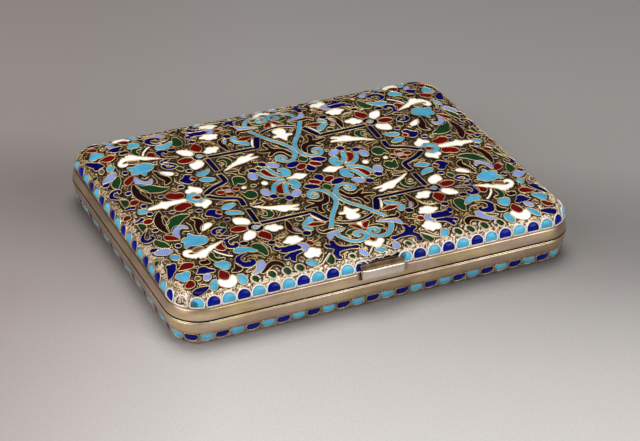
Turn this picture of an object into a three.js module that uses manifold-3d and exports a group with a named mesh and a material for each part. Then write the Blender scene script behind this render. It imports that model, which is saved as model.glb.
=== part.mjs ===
// A cloisonne cigarette case: two shallow halves joined by a knuckled hinge along the back,
// closed by a sprung push-piece in the middle of the front.
//
// Millimetres, +Z up. X runs along the case, the push-piece faces -Y, and the hinge is at +Y.
// The origin is on the surface that the case lies on, under the middle of its outer box.

import * as THREE from 'three';
import * as BufferGeometryUtils from 'three/addons/utils/BufferGeometryUtils.js';
import Module from 'manifold-3d';

const wasm = await Module();
wasm.setup();

// Case body
const CASE_LENGTH = 110;
const CASE_DEPTH = 84.3;
const CORNER_RADIUS = 8.7;
const SHOULDER_TOP = 14.5; // where the lid's rounded shoulder ends and its shallow dome starts
const LID_CROWN = 1.6; // rise of the dome in the middle of the lid
const LID_FLATNESS = 8; // power that the dome falls off with: a higher one has a flatter middle
const SEAM_HEIGHT = 7.9;
const SEAM_GAP = 0.2;
const SHOULDER_HEIGHT = 3.8; // the shoulder is a quarter ellipse, this high and this far in
const SHOULDER_INSET = 2.7;
const BAND_BOW = 0.6; // the plain bands lean out by this much on their way to the seam
const WALL = 0.8; // side walls, measured at the seam
const PLATE = 0.65; // metal under the enamel
const ENAMEL = 0.65; // depth of wires and enamel over the metal
const SEAT_GAP = 0.05; // joint between pieces that are soldered or fired together

// Bead row on the shoulder of both halves
const BEAD_COUNT = 92;
const BEAD_WIDTH = 3.3;
const BEAD_HEIGHT = 3.3;
const BEAD_FLAT = 2.5; // length of the edge that lies along the band
const BEAD_GROUND = 0.25; // the metal between the beads lies this far below their rims
const BEAD_CROWN = 0.14; // how far a bead's middle stands over its rim
const BEAD_ROOT = 0.22; // how far a bead reaches into the metal between
const BEAD_ROW_MARGIN = 0.15; // strip left above and below the beads
const BASE_BEAD_OFFSET = -1.05; // how far round the base's beads lie from the lid's
const EDGE_WIRE_RADIUS = 0.24;

// Mouth of the base: a bright rim, and a thin lip that stands up inside the lid
const RIM_HEIGHT = 0.55;
const RIM_PROUD = 0.08;
const LIP_CLEARANCE = 0.1;
const LIP_WALL = 0.5;
const LIP_ABOVE_SEAM = 1.5;
const LIP_BELOW_SEAM = 2.6;
const LIP_ROOM_ABOVE = 0.2; // straight part of the lid's inner wall over the lip
const LIP_STOP_FROM_BACK = 11; // the lip leaves the hinge side free

// Hinge
const HINGE_END_MARGIN = 1.3; // straight wall left beyond each end of the hinge
const KNUCKLE_COUNT = 7; // the outer ones and every second one belong to the base
const KNUCKLE_GAP = 0.15;
const KNUCKLE_RADIUS = 1.2;
const KNUCKLE_CLEARANCE = 0.1; // round the knuckles in the groove of both halves
const HINGE_AXIS_OUT = 0.1; // the axis lies just outside the back wall
const PIN_RADIUS = 0.5;
const PIN_CLEARANCE = 0.05;
const PIN_PLUG_LENGTH = 1;
const BEARER_WIDTH = 1.45; // strip that stiffens each wall behind the hinge

// Push-piece, its hook, the leaf spring and the catch plate
const PUSH_CENTRE_X = -0.95;
const PUSH_WIDTH = 11.7;
const PUSH_PROUD = 0.95;
const PUSH_TRAVEL = 0.6;
const PUSH_SIDE_CLEARANCE = 0.15;
const PUSH_LIP_HEIGHT = 4.1; // front lip over the seam
const PUSH_BACK_HEIGHT = 5; // back edge of the sloping top over the seam
const PUSH_BACK_INSET = 1.05;
const PUSH_LIP_ROUND = 0.3;
const SHANK_WIDTH = 6;
const SHANK_HEIGHT = 1.1;
const SHANK_OVER_PLATE = 0.4;
const HOOK_THICKNESS = 0.5;
const HOOK_HEIGHT_ABOVE_SHANK = 2.6;
const NOSE_LENGTH = 0.4;
const NOSE_HEIGHT = 0.7;
const NOSE_CLEARANCE = 0.1; // between the nose and the catch plate's inner face
const CATCH_PLATE_WIDTH = 7;
const CATCH_PLATE_THICKNESS = 0.55;
const CATCH_PLATE_TOP = 0.1; // over the seam
const WINDOW_WIDTH = 5;
const WINDOW_HEIGHT = 0.9;
const WINDOW_BELOW_TOP = 0.8;
const SPRING_LENGTH = 42;
const SPRING_THICKNESS = 0.3;
const SPRING_HEIGHT = 1.6;
const SPRING_BOW = 0.7;
const SPRING_ABOVE_LIP = 0.6;
const KEEPER_WIDTH = 2.4;
const KEEPER_WALL = 0.35;
const KEEPER_PLAY = 0.15;
const KEEPER_FROM_END = 1.5;

// Elastic straps and the clips that hold their ends
const STRAP_WIDTH = 8;
const STRAP_THICKNESS = 0.8;
const STRAP_PLAY = 0.05;
const CLIP_SHEET = 0.25;
const CLIP_DEPTH = 4;
const CLIP_GRIP = 2.2; // how far the strap's end reaches into the clip
const CLIP_SIDE = 0.7;
const CLIP_FROM_END = 5.7; // from the case's end to the clip's back

// Facets
const CORNER_STEPS = 5;
const LONG_SIDE_STEPS = 4;
const SHORT_SIDE_STEPS = 3;
const SHOULDER_STEPS = 3;
const BEAD_ROW_STEPS = 2;
const FIELD_STEPS = 2;
const LID_DOME_SHARES = [0.93, 0.82, 0.62]; // sizes of the dome's rings, as shares of its edge
const LID_CEILING_SHARES = [0.62, 0.82];
const ROUND_STEPS = 12;
const WIRE_SIDES = 5;
const BEAD_SIDES = 6;
const SPRING_STEPS = 8;
const RIGHT_ANGLE = Math.PI / 2;
const ARC_SAMPLES = 400;

// Places that follow from the sizes above
const BAND_TOP = SHOULDER_TOP - SHOULDER_HEIGHT;
const BAND_BOTTOM = SHOULDER_HEIGHT;
const FIELD_INSET = BAND_BOW + SHOULDER_INSET;
const LINING = ENAMEL + PLATE;
const LID_RIM = SEAM_HEIGHT + SEAM_GAP / 2;
const BASE_RIM_TOP = SEAM_HEIGHT - SEAM_GAP / 2;
const BASE_WALL_TOP = BASE_RIM_TOP - RIM_HEIGHT - SEAT_GAP;
const FRONT_Y = -CASE_DEPTH / 2;
const HINGE_Y = CASE_DEPTH / 2 + HINGE_AXIS_OUT;
const LIP_TOP = SEAM_HEIGHT + LIP_ABOVE_SEAM;
const LIP_BOTTOM = SEAM_HEIGHT - LIP_BELOW_SEAM;
const LIP_OUTER = WALL + LIP_CLEARANCE;
const LIP_INNER = LIP_OUTER + LIP_WALL;
const HINGE_LENGTH = CASE_LENGTH - 2 * (CORNER_RADIUS + HINGE_END_MARGIN);
const STRAP_LENGTH = CASE_LENGTH - 2 * (CLIP_FROM_END + CLIP_DEPTH - CLIP_GRIP);

// Colours
const SILVER_GILT = { color: 0xa8967c, metalness: 1, roughness: 0.35 };
const BRIGHT_GILT = { color: 0xc9b48a, metalness: 1, roughness: 0.3 };
const GILT_INSIDE = { color: 0xc8a45a, metalness: 1, roughness: 0.3 };
const STEEL = { color: 0x9a9da1, metalness: 1, roughness: 0.35 };
const ENAMEL_FIELD = { color: 0x55698a, metalness: 0.1, roughness: 0.25 };
const ENAMEL_BEADS = { color: 0x3a86c8, metalness: 0, roughness: 0.2 };
const ELASTIC = { color: 0xb9a37c, metalness: 0, roughness: 0.9 };

// A point on the rounded rectangle, and the direction out of it
const STRAIGHT_X = CASE_LENGTH / 2 - CORNER_RADIUS;
const STRAIGHT_Y = CASE_DEPTH / 2 - CORNER_RADIUS;
const CORNERS = [
  { x: STRAIGHT_X, y: -STRAIGHT_Y, from: -RIGHT_ANGLE, steps: SHORT_SIDE_STEPS },
  { x: STRAIGHT_X, y: STRAIGHT_Y, from: 0, steps: LONG_SIDE_STEPS },
  { x: -STRAIGHT_X, y: STRAIGHT_Y, from: RIGHT_ANGLE, steps: SHORT_SIDE_STEPS },
  { x: -STRAIGHT_X, y: -STRAIGHT_Y, from: 2 * RIGHT_ANGLE, steps: LONG_SIDE_STEPS },
];

function cornerPoint(corner, angle, radius) {
  return new THREE.Vector2(
    corner.x + radius * Math.cos(angle),
    corner.y + radius * Math.sin(angle),
  );
}

// The case's outline, counter-clockwise, drawn in from the seam by an inset
function outline(inset) {
  const radius = CORNER_RADIUS - inset;
  const points = [];
  CORNERS.forEach((corner, index) => {
    for (let step = 0; step <= CORNER_STEPS; step += 1) {
      const angle = corner.from + (RIGHT_ANGLE * step) / CORNER_STEPS;
      points.push(cornerPoint(corner, angle, radius));
    }
    const next = CORNERS[(index + 1) % CORNERS.length];
    const start = points[points.length - 1];
    const end = cornerPoint(next, corner.from + RIGHT_ANGLE, radius);
    for (let step = 1; step < corner.steps; step += 1) {
      points.push(start.clone().lerp(end, step / corner.steps));
    }
  });
  return points;
}

function ring({ inset, z }) {
  return outline(inset).map((point) => new THREE.Vector3(point.x, point.y, z));
}

// The lid's dome over the end of the shoulder
function crownAt(x, y) {
  const acrossX = Math.abs(x) / (CASE_LENGTH / 2 - FIELD_INSET);
  const acrossY = Math.abs(y) / (CASE_DEPTH / 2 - FIELD_INSET);
  return LID_CROWN * (1 - acrossX ** LID_FLATNESS) * (1 - acrossY ** LID_FLATNESS);
}

function domeRing(share, depth) {
  return outline(FIELD_INSET).map((point) => {
    const x = point.x * share;
    const y = point.y * share;
    return new THREE.Vector3(x, y, SHOULDER_TOP - depth + crownAt(x, y));
  });
}

// Profile of a shoulder: angle 0 is its meeting with the band, a right angle is its end.
// The depth is measured inwards from the finished surface.
function lidShoulder(angle, depth) {
  return {
    inset: FIELD_INSET - (SHOULDER_INSET - depth) * Math.cos(angle),
    z: BAND_TOP + (SHOULDER_HEIGHT - depth) * Math.sin(angle),
  };
}

function baseShoulder(angle, depth) {
  const { inset, z } = lidShoulder(angle, depth);
  return { inset, z: BAND_BOTTOM + BAND_TOP - z };
}

// Bow of the plain bands, which stand out furthest at the seam
function bandInset(z) {
  const end = z > SEAM_HEIGHT ? BAND_TOP : BAND_BOTTOM;
  const share = (z - SEAM_HEIGHT) / (end - SEAM_HEIGHT);
  return BAND_BOW * share * share;
}

function steps(count, from, to) {
  return Array.from({ length: count + 1 }, (_, step) => from + ((to - from) * step) / count);
}

// Angle of the shoulder's profile at a distance along it from the band
function shoulderAngle(distance) {
  let walked = 0;
  for (let sample = 0; sample < ARC_SAMPLES; sample += 1) {
    const angle = (RIGHT_ANGLE * (sample + 0.5)) / ARC_SAMPLES;
    const across = SHOULDER_INSET * Math.sin(angle);
    const up = SHOULDER_HEIGHT * Math.cos(angle);
    walked += (Math.hypot(across, up) * RIGHT_ANGLE) / ARC_SAMPLES;
    if (walked >= distance) {
      return angle;
    }
  }
  return RIGHT_ANGLE;
}

const EDGE_WIRE_LIFT = SEAT_GAP + EDGE_WIRE_RADIUS;
const BEAD_ROW_START = 2 * EDGE_WIRE_LIFT;
const BEAD_START = BEAD_ROW_START + BEAD_ROW_MARGIN;
const BEAD_ROW_END = BEAD_START + BEAD_HEIGHT + BEAD_ROW_MARGIN;
const BEAD_ROW_LOW = shoulderAngle(BEAD_ROW_START);
const BEAD_ROW_HIGH = shoulderAngle(BEAD_ROW_END);
const FIELD_LOW = shoulderAngle(BEAD_ROW_END + SEAT_GAP);

// Meshes
function geometryFrom(positions, triangles) {
  const geometry = new THREE.BufferGeometry();
  geometry.setAttribute('position', new THREE.Float32BufferAttribute(positions, 3));
  geometry.setIndex(triangles);
  return geometry;
}

// A solid through rings of equal count. Open ones are closed by a fan to a middle point at
// each end, and closed ones join the last ring to the first. Each quad folds along its higher
// diagonal, so that two surfaces that lie on each other fold alike.
function loft(rings, { closed = false, middles = [] } = {}) {
  const count = rings[0].length;
  const points = rings.flat();
  const positions = points.flatMap((point) => [point.x, point.y, point.z]);
  const triangles = [];
  const pairs = closed ? rings.length : rings.length - 1;
  for (let row = 0; row < pairs; row += 1) {
    const here = row * count;
    const next = ((row + 1) % rings.length) * count;
    for (let i = 0; i < count; i += 1) {
      const j = (i + 1) % count;
      const [a, b, c, d] = [here + i, here + j, next + j, next + i];
      if (points[a].z + points[c].z > points[b].z + points[d].z) {
        triangles.push(a, b, c, a, c, d);
      } else {
        triangles.push(a, b, d, b, c, d);
      }
    }
  }
  const cap = (row, given, flip) => {
    const middle = positions.length / 3;
    const sum = rings[row].reduce((total, point) => total.add(point), new THREE.Vector3());
    const centre = given || sum.divideScalar(count);
    positions.push(centre.x, centre.y, centre.z);
    for (let i = 0; i < count; i += 1) {
      const a = row * count + i;
      const b = row * count + ((i + 1) % count);
      triangles.push(middle, ...(flip ? [b, a] : [a, b]));
    }
  };
  if (!closed) {
    cap(0, middles[0], true);
    cap(rings.length - 1, middles[1], false);
  }
  return geometryFrom(positions, triangles);
}

function signedVolume(geometry) {
  const position = geometry.getAttribute('position');
  const index = geometry.getIndex();
  const [a, b, c] = [new THREE.Vector3(), new THREE.Vector3(), new THREE.Vector3()];
  let volume = 0;
  for (let i = 0; i < index.count; i += 3) {
    a.fromBufferAttribute(position, index.getX(i));
    b.fromBufferAttribute(position, index.getX(i + 1));
    c.fromBufferAttribute(position, index.getX(i + 2));
    volume += a.dot(b.cross(c)) / 6;
  }
  return volume;
}

// A closed mesh with shared vertices and its faces turned outwards
function welded(geometry) {
  const bare = geometry.clone();
  bare.deleteAttribute('normal');
  bare.deleteAttribute('uv');
  const merged = BufferGeometryUtils.mergeVertices(bare, 1e-5);
  if (signedVolume(merged) < 0) {
    merged.getIndex().array.reverse();
  }
  return merged;
}

function toManifold(geometry) {
  const closed = welded(geometry);
  return new wasm.Manifold(
    new wasm.Mesh({
      numProp: 3,
      vertProperties: new Float32Array(closed.getAttribute('position').array),
      triVerts: new Uint32Array(closed.getIndex().array),
    }),
  );
}

function fromManifold(solid) {
  const mesh = solid.getMesh();
  return geometryFrom(Array.from(mesh.vertProperties), Array.from(mesh.triVerts));
}

function cut(geometry, ...tools) {
  return fromManifold(
    tools.reduce((solid, tool) => solid.subtract(toManifold(tool)), toManifold(geometry)),
  );
}

function joined(geometry, ...others) {
  return fromManifold(
    others.reduce((solid, other) => solid.add(toManifold(other)), toManifold(geometry)),
  );
}

function box([x0, x1], [y0, y1], [z0, z1]) {
  const geometry = new THREE.BoxGeometry(x1 - x0, y1 - y0, z1 - z0);
  geometry.translate((x0 + x1) / 2, (y0 + y1) / 2, (z0 + z1) / 2);
  return geometry;
}

function around(centre, width) {
  return [centre - width / 2, centre + width / 2];
}

// A round bar or tube along X
function bar(radius, [x0, x1], y, z, bore = 0) {
  const length = x1 - x0;
  const profile = [
    new THREE.Vector2(bore, 0),
    new THREE.Vector2(radius, 0),
    new THREE.Vector2(radius, length),
    new THREE.Vector2(bore, length),
  ];
  if (bore > 0) {
    profile.push(profile[0].clone());
  }
  const geometry = new THREE.LatheGeometry(profile, ROUND_STEPS);
  geometry.rotateZ(-RIGHT_ANGLE);
  geometry.translate(x0, y, z);
  return geometry;
}

// A profile drawn in inset and height at the front, drawn out along X
function frontProfile(points, [x0, x1]) {
  const shape = new THREE.Shape(
    points.map(([inset, z]) => new THREE.Vector2(FRONT_Y + inset, z)),
  );
  const geometry = new THREE.ExtrudeGeometry(shape, { depth: x1 - x0, bevelEnabled: false });
  geometry.rotateX(RIGHT_ANGLE);
  geometry.rotateZ(RIGHT_ANGLE);
  geometry.translate(x0, 0, 0);
  return geometry;
}

// A box at the front whose depth is given as insets from the seam
function frontBox(xRange, [inset0, inset1], zRange) {
  return box(xRange, [FRONT_Y + inset0, FRONT_Y + inset1], zRange);
}

// Cuts shared by both halves
const GROOVE_RADIUS = KNUCKLE_RADIUS + KNUCKLE_CLEARANCE;
const HINGE_SPAN = around(0, HINGE_LENGTH);
const GROOVE_SPAN = around(0, HINGE_LENGTH + 2 * KNUCKLE_CLEARANCE);
const PUSH_SLOT_SPAN = around(PUSH_CENTRE_X, PUSH_WIDTH + 2 * PUSH_SIDE_CLEARANCE);
const PUSH_SLOT_BACK = PUSH_BACK_INSET + PUSH_TRAVEL + PUSH_SIDE_CLEARANCE / 2;

function hingeGroove() {
  return bar(GROOVE_RADIUS, GROOVE_SPAN, HINGE_Y, SEAM_HEIGHT);
}

function pushSlot() {
  return frontBox(
    PUSH_SLOT_SPAN,
    [-PUSH_PROUD, PUSH_SLOT_BACK],
    [SEAM_HEIGHT - SEAM_GAP, SHOULDER_TOP + LID_CROWN],
  );
}

// Shells
const INSIDE_ANGLES = steps(SHOULDER_STEPS, 0, RIGHT_ANGLE);
const BEAD_ROW_ANGLES = steps(BEAD_ROW_STEPS, BEAD_ROW_LOW, BEAD_ROW_HIGH);
const FIELD_ANGLES = steps(FIELD_STEPS, FIELD_LOW, RIGHT_ANGLE);
const OUTSIDE_ANGLES = [0, ...BEAD_ROW_ANGLES, ...FIELD_ANGLES.slice(1)]; // facets as on the enamel

function lidShell() {
  const insideWallTop = LIP_TOP + LIP_ROOM_ABOVE;
  const middle = (LID_RIM + BAND_TOP) / 2;
  const rings = [
    ...LID_CEILING_SHARES.map((share) => domeRing(share, LINING)),
    ...[...INSIDE_ANGLES].reverse().map((angle) => ring(lidShoulder(angle, LINING))),
    ring({ inset: WALL, z: insideWallTop }),
    ring({ inset: WALL, z: LID_RIM }),
    ring({ inset: bandInset(LID_RIM), z: LID_RIM }),
    ring({ inset: bandInset(middle), z: middle }),
    ring({ inset: BAND_BOW, z: BAND_TOP }),
    ...OUTSIDE_ANGLES.map((angle) => ring(lidShoulder(angle, ENAMEL + SEAT_GAP))),
    ...LID_DOME_SHARES.map((share) => domeRing(share, ENAMEL + SEAT_GAP)),
  ];
  return cut(loft(rings), hingeGroove(), pushSlot());
}

function baseShell() {
  const insideWallBottom = LIP_BOTTOM - SEAT_GAP;
  const middle = (BASE_WALL_TOP + BAND_BOTTOM) / 2;
  const rings = [
    ...[...OUTSIDE_ANGLES].reverse().map((angle) => ring(baseShoulder(angle, ENAMEL + SEAT_GAP))),
    ring({ inset: BAND_BOW, z: BAND_BOTTOM }),
    ring({ inset: bandInset(middle), z: middle }),
    ring({ inset: bandInset(BASE_WALL_TOP), z: BASE_WALL_TOP }),
    ring({ inset: WALL, z: BASE_WALL_TOP }),
    ring({ inset: WALL, z: insideWallBottom }),
    ...INSIDE_ANGLES.map((angle) => ring(baseShoulder(angle, LINING))),
  ];
  return cut(loft(rings), hingeGroove());
}

// Enamelled fields: the middle of each face, down over the end of its shoulder
function lidField() {
  const rings = [
    ...[...LID_DOME_SHARES].reverse().map((share) => domeRing(share, ENAMEL)),
    ...[...FIELD_ANGLES].reverse().map((angle) => ring(lidShoulder(angle, ENAMEL))),
    ...FIELD_ANGLES.map((angle) => ring(lidShoulder(angle, 0))),
    ...LID_DOME_SHARES.map((share) => domeRing(share, 0)),
  ];
  return cut(loft(rings), pushSlot());
}

function baseField() {
  const rings = [
    ...[...FIELD_ANGLES].reverse().map((angle) => ring(baseShoulder(angle, 0))),
    ...FIELD_ANGLES.map((angle) => ring(baseShoulder(angle, ENAMEL))),
  ];
  return loft(rings);
}

// A place on the outline at a distance along the band's edge, from the middle of the front
function edgeAt(distance) {
  const radius = CORNER_RADIUS - BAND_BOW;
  const arc = RIGHT_ANGLE * radius;
  const runs = [2 * STRAIGHT_Y, 2 * STRAIGHT_X, 2 * STRAIGHT_Y, 2 * STRAIGHT_X];
  const total = 4 * arc + runs.reduce((sum, run) => sum + run, 0);
  let left = (((distance - STRAIGHT_X) % total) + total) % total;
  for (let side = 0; side < CORNERS.length; side += 1) {
    const corner = CORNERS[side];
    if (left < arc) {
      return { corner, angle: corner.from + left / radius, along: 0 };
    }
    left -= arc;
    if (left < runs[side]) {
      return { corner, angle: corner.from + RIGHT_ANGLE, along: left };
    }
    left -= runs[side];
  }
  throw new Error('the distance lies outside the outline');
}

function edgeLength() {
  const radius = CORNER_RADIUS - BAND_BOW;
  return 4 * (STRAIGHT_X + STRAIGHT_Y) + 2 * Math.PI * radius;
}

// A point on a shoulder: how far along the edge, how far up the shoulder and how deep
function onShoulder(shoulder, distance, height, depth) {
  const { corner, angle, along } = edgeAt(distance);
  const { inset, z } = shoulder(shoulderAngle(height), depth);
  const point = cornerPoint(corner, angle, CORNER_RADIUS - inset);
  return new THREE.Vector3(
    point.x - along * Math.sin(angle),
    point.y + along * Math.cos(angle),
    z,
  );
}

// One bead: a round cell cut off flat along the band, and crowned in the middle
function beadOutline() {
  const flatHalf = BEAD_FLAT / 2;
  const flatAngle = Math.acos(flatHalf / (BEAD_WIDTH / 2));
  const middle = (BEAD_HEIGHT * Math.sin(flatAngle)) / (1 + Math.sin(flatAngle));
  const turns = steps(BEAD_SIDES - 1, -flatAngle, Math.PI + flatAngle);
  return turns.map((turn) => [
    (BEAD_WIDTH / 2) * Math.cos(turn),
    middle + (BEAD_HEIGHT - middle) * Math.sin(turn),
  ]);
}

function bead(shoulder, centre) {
  const shape = beadOutline();
  const at = (across, up, depth) => (
    onShoulder(shoulder, centre + across, BEAD_START + up, depth)
  );
  const root = BEAD_GROUND + BEAD_ROOT;
  const rows = [root, BEAD_CROWN].map((depth) => (
    shape.map(([across, up]) => at(across, up, depth))
  ));
  const middles = [root, 0].map((depth) => at(0, BEAD_HEIGHT / 2, depth));
  return loft(rows, { middles });
}

function beadBorder(shoulder, offset, missing) {
  const strip = loft(
    [
      ...BEAD_ROW_ANGLES.map((angle) => ring(shoulder(angle, BEAD_GROUND))),
      ...[...BEAD_ROW_ANGLES].reverse().map((angle) => ring(shoulder(angle, ENAMEL))),
    ],
    { closed: true },
  );
  const pitch = edgeLength() / BEAD_COUNT;
  const beads = [];
  for (let index = 0; index < BEAD_COUNT; index += 1) {
    const centre = (index + 0.5) * pitch + offset;
    if (!missing(centre)) {
      beads.push(bead(shoulder, centre));
    }
  }
  return joined(strip, ...beads);
}

// No bead is left over the push-piece
function underPushPiece(distance) {
  const length = edgeLength();
  const x = distance > length / 2 ? distance - length : distance;
  return x > PUSH_SLOT_SPAN[0] - BEAD_WIDTH / 2 && x < PUSH_SLOT_SPAN[1];
}

function lidBeadBorder() {
  return cut(beadBorder(lidShoulder, 0, underPushPiece), pushSlot());
}

function baseBeadBorder() {
  return beadBorder(baseShoulder, BASE_BEAD_OFFSET, () => false);
}

// Wires between the bands and the bead rows
function edgeWire(height, direction) {
  const centreInset = BAND_BOW + EDGE_WIRE_RADIUS;
  const centreZ = height + direction * EDGE_WIRE_LIFT;
  const rings = Array.from({ length: WIRE_SIDES }, (_, side) => {
    const angle = (2 * Math.PI * side) / WIRE_SIDES;
    return ring({
      inset: centreInset - EDGE_WIRE_RADIUS * Math.cos(angle),
      z: centreZ + EDGE_WIRE_RADIUS * Math.sin(angle),
    });
  });
  return loft(rings, { closed: true });
}

// The base's bright rim, rounded on its outer face
function baseRim() {
  const bottom = BASE_RIM_TOP - RIM_HEIGHT;
  const rings = [
    ring({ inset: 0, z: bottom }),
    ring({ inset: -RIM_PROUD, z: bottom + RIM_HEIGHT / 3 }),
    ring({ inset: -RIM_PROUD, z: BASE_RIM_TOP - RIM_HEIGHT / 3 }),
    ring({ inset: 0, z: BASE_RIM_TOP }),
    ring({ inset: WALL, z: BASE_RIM_TOP }),
    ring({ inset: WALL, z: bottom }),
  ];
  return cut(loft(rings, { closed: true }), hingeGroove());
}

// The lip on the front and sides, with a notch for the push-piece
function baseLip() {
  const rings = [
    ring({ inset: LIP_OUTER, z: LIP_BOTTOM }),
    ring({ inset: LIP_OUTER, z: LIP_TOP }),
    ring({ inset: LIP_INNER, z: LIP_TOP }),
    ring({ inset: LIP_INNER, z: LIP_BOTTOM }),
  ];
  const back = box(
    around(0, CASE_LENGTH),
    [CASE_DEPTH / 2 - LIP_STOP_FROM_BACK, CASE_DEPTH / 2],
    [0, SHOULDER_TOP],
  );
  const notch = frontBox(
    around(PUSH_CENTRE_X, PUSH_WIDTH + 4 * PUSH_SIDE_CLEARANCE),
    [0, LIP_INNER + LIP_WALL],
    [SEAM_HEIGHT + CATCH_PLATE_TOP, SHOULDER_TOP],
  );
  return cut(loft(rings, { closed: true }), back, notch);
}

// Hinge pieces
const BEARER_INSETS = [WALL + SEAT_GAP, WALL + SEAT_GAP + BEARER_WIDTH];

function hingeBearer(zRange) {
  const [near, far] = BEARER_INSETS.map((inset) => CASE_DEPTH / 2 - inset);
  return cut(box(HINGE_SPAN, [far, near], zRange), hingeGroove());
}

const KNUCKLE_PITCH = (HINGE_LENGTH + KNUCKLE_GAP) / KNUCKLE_COUNT;

function knuckle(index) {
  const start = HINGE_SPAN[0] + index * KNUCKLE_PITCH;
  const span = [start, start + KNUCKLE_PITCH - KNUCKLE_GAP];
  return bar(KNUCKLE_RADIUS, span, HINGE_Y, SEAM_HEIGHT, PIN_RADIUS + PIN_CLEARANCE);
}

function hingePin() {
  const length = HINGE_LENGTH - 2 * (PIN_PLUG_LENGTH + SEAT_GAP);
  return bar(PIN_RADIUS, around(0, length), HINGE_Y, SEAM_HEIGHT);
}

function pinPlug(side) {
  const centre = (side * (HINGE_LENGTH - PIN_PLUG_LENGTH)) / 2;
  return bar(PIN_RADIUS, around(centre, PIN_PLUG_LENGTH), HINGE_Y, SEAM_HEIGHT);
}

// Catch
const PLATE_INSETS = [LIP_INNER + SEAT_GAP, LIP_INNER + SEAT_GAP + CATCH_PLATE_THICKNESS];
const PLATE_TOP = SEAM_HEIGHT + CATCH_PLATE_TOP;
const WINDOW_TOP = PLATE_TOP - WINDOW_BELOW_TOP;
const SHANK_BOTTOM = PLATE_TOP + SHANK_OVER_PLATE;
const HOOK_INSET = PLATE_INSETS[1] + NOSE_CLEARANCE + NOSE_LENGTH;
const HOOK_INNER = HOOK_INSET + HOOK_THICKNESS;
const SPRING_BOTTOM = LIP_TOP + SPRING_ABOVE_LIP;

function catchPlate() {
  const plate = frontBox(
    around(PUSH_CENTRE_X, CATCH_PLATE_WIDTH),
    PLATE_INSETS,
    [LIP_BOTTOM, PLATE_TOP],
  );
  const window = frontBox(
    around(PUSH_CENTRE_X, WINDOW_WIDTH),
    [LIP_INNER, PLATE_INSETS[1] + NOSE_LENGTH],
    [WINDOW_TOP - WINDOW_HEIGHT, WINDOW_TOP],
  );
  return cut(plate, window);
}

function pushPiece() {
  const bottom = LID_RIM;
  const lip = SEAM_HEIGHT + PUSH_LIP_HEIGHT;
  const button = frontProfile(
    [
      [-PUSH_PROUD, bottom],
      [PUSH_BACK_INSET, bottom],
      [PUSH_BACK_INSET, SEAM_HEIGHT + PUSH_BACK_HEIGHT],
      [PUSH_LIP_ROUND, lip + PUSH_LIP_ROUND / 3],
      [PUSH_LIP_ROUND - PUSH_PROUD, lip],
      [-PUSH_PROUD, lip - PUSH_LIP_ROUND],
    ],
    around(PUSH_CENTRE_X, PUSH_WIDTH),
  );
  const shank = frontBox(
    around(PUSH_CENTRE_X, SHANK_WIDTH),
    [0, HOOK_INNER],
    [SHANK_BOTTOM, SHANK_BOTTOM + SHANK_HEIGHT],
  );
  const noseBottom = WINDOW_TOP - WINDOW_HEIGHT;
  const hook = frontBox(
    around(PUSH_CENTRE_X, SHANK_WIDTH),
    [HOOK_INSET, HOOK_INNER],
    [noseBottom, SHANK_BOTTOM + SHANK_HEIGHT + HOOK_HEIGHT_ABOVE_SHANK],
  );
  const nose = frontBox(
    around(PUSH_CENTRE_X, WINDOW_WIDTH - 4 * NOSE_CLEARANCE),
    [HOOK_INSET - NOSE_LENGTH, HOOK_INNER],
    [noseBottom, noseBottom + NOSE_HEIGHT],
  );
  return joined(button, shank, hook, nose);
}

// The leaf spring bears on the hook and bows back towards its keepers
const SPRING_FRONT = HOOK_INNER + SEAT_GAP;

function springInset(x) {
  const share = (2 * x) / SPRING_LENGTH;
  return SPRING_FRONT + SPRING_BOW * share * share;
}

function catchSpring() {
  const stations = steps(SPRING_STEPS, -SPRING_LENGTH / 2, SPRING_LENGTH / 2);
  const front = stations.map((x) => new THREE.Vector2(x, FRONT_Y + springInset(x)));
  const back = stations.map((x) => (
    new THREE.Vector2(x, FRONT_Y + springInset(x) + SPRING_THICKNESS)
  ));
  const shape = new THREE.Shape([...front, ...back.reverse()]);
  const geometry = new THREE.ExtrudeGeometry(shape, {
    depth: SPRING_HEIGHT,
    bevelEnabled: false,
  });
  geometry.translate(PUSH_CENTRE_X, 0, SPRING_BOTTOM);
  return geometry;
}

// A staple under the lid that holds one end of the spring and lets it slide
function springKeeper(side) {
  const fromMiddle = SPRING_LENGTH / 2 - KEEPER_FROM_END;
  const span = around(PUSH_CENTRE_X + side * fromMiddle, KEEPER_WIDTH);
  const leaf = springInset(fromMiddle);
  const slot = [
    leaf - KEEPER_PLAY,
    leaf + SPRING_THICKNESS + PUSH_TRAVEL + KEEPER_PLAY,
  ];
  const body = frontBox(
    span,
    [slot[0] - KEEPER_WALL, slot[1] + KEEPER_WALL],
    [SPRING_BOTTOM - KEEPER_PLAY, SHOULDER_TOP - LINING - SEAT_GAP],
  );
  const channel = frontBox(
    around(PUSH_CENTRE_X + side * fromMiddle, KEEPER_WIDTH + 2 * KEEPER_PLAY),
    slot,
    [SPRING_BOTTOM - 2 * KEEPER_PLAY, SPRING_BOTTOM + SPRING_HEIGHT + KEEPER_PLAY],
  );
  return cut(body, channel);
}

// Straps and clips. A clip is a folded strip that grips one end of a strap.
const CLIP_HEIGHT = STRAP_THICKNESS + 2 * STRAP_PLAY + 2 * CLIP_SHEET;

function strap(clipBottom) {
  const bottom = clipBottom + CLIP_SHEET + STRAP_PLAY;
  return box(
    around(0, STRAP_LENGTH),
    around(0, STRAP_WIDTH),
    [bottom, bottom + STRAP_THICKNESS],
  );
}

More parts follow.
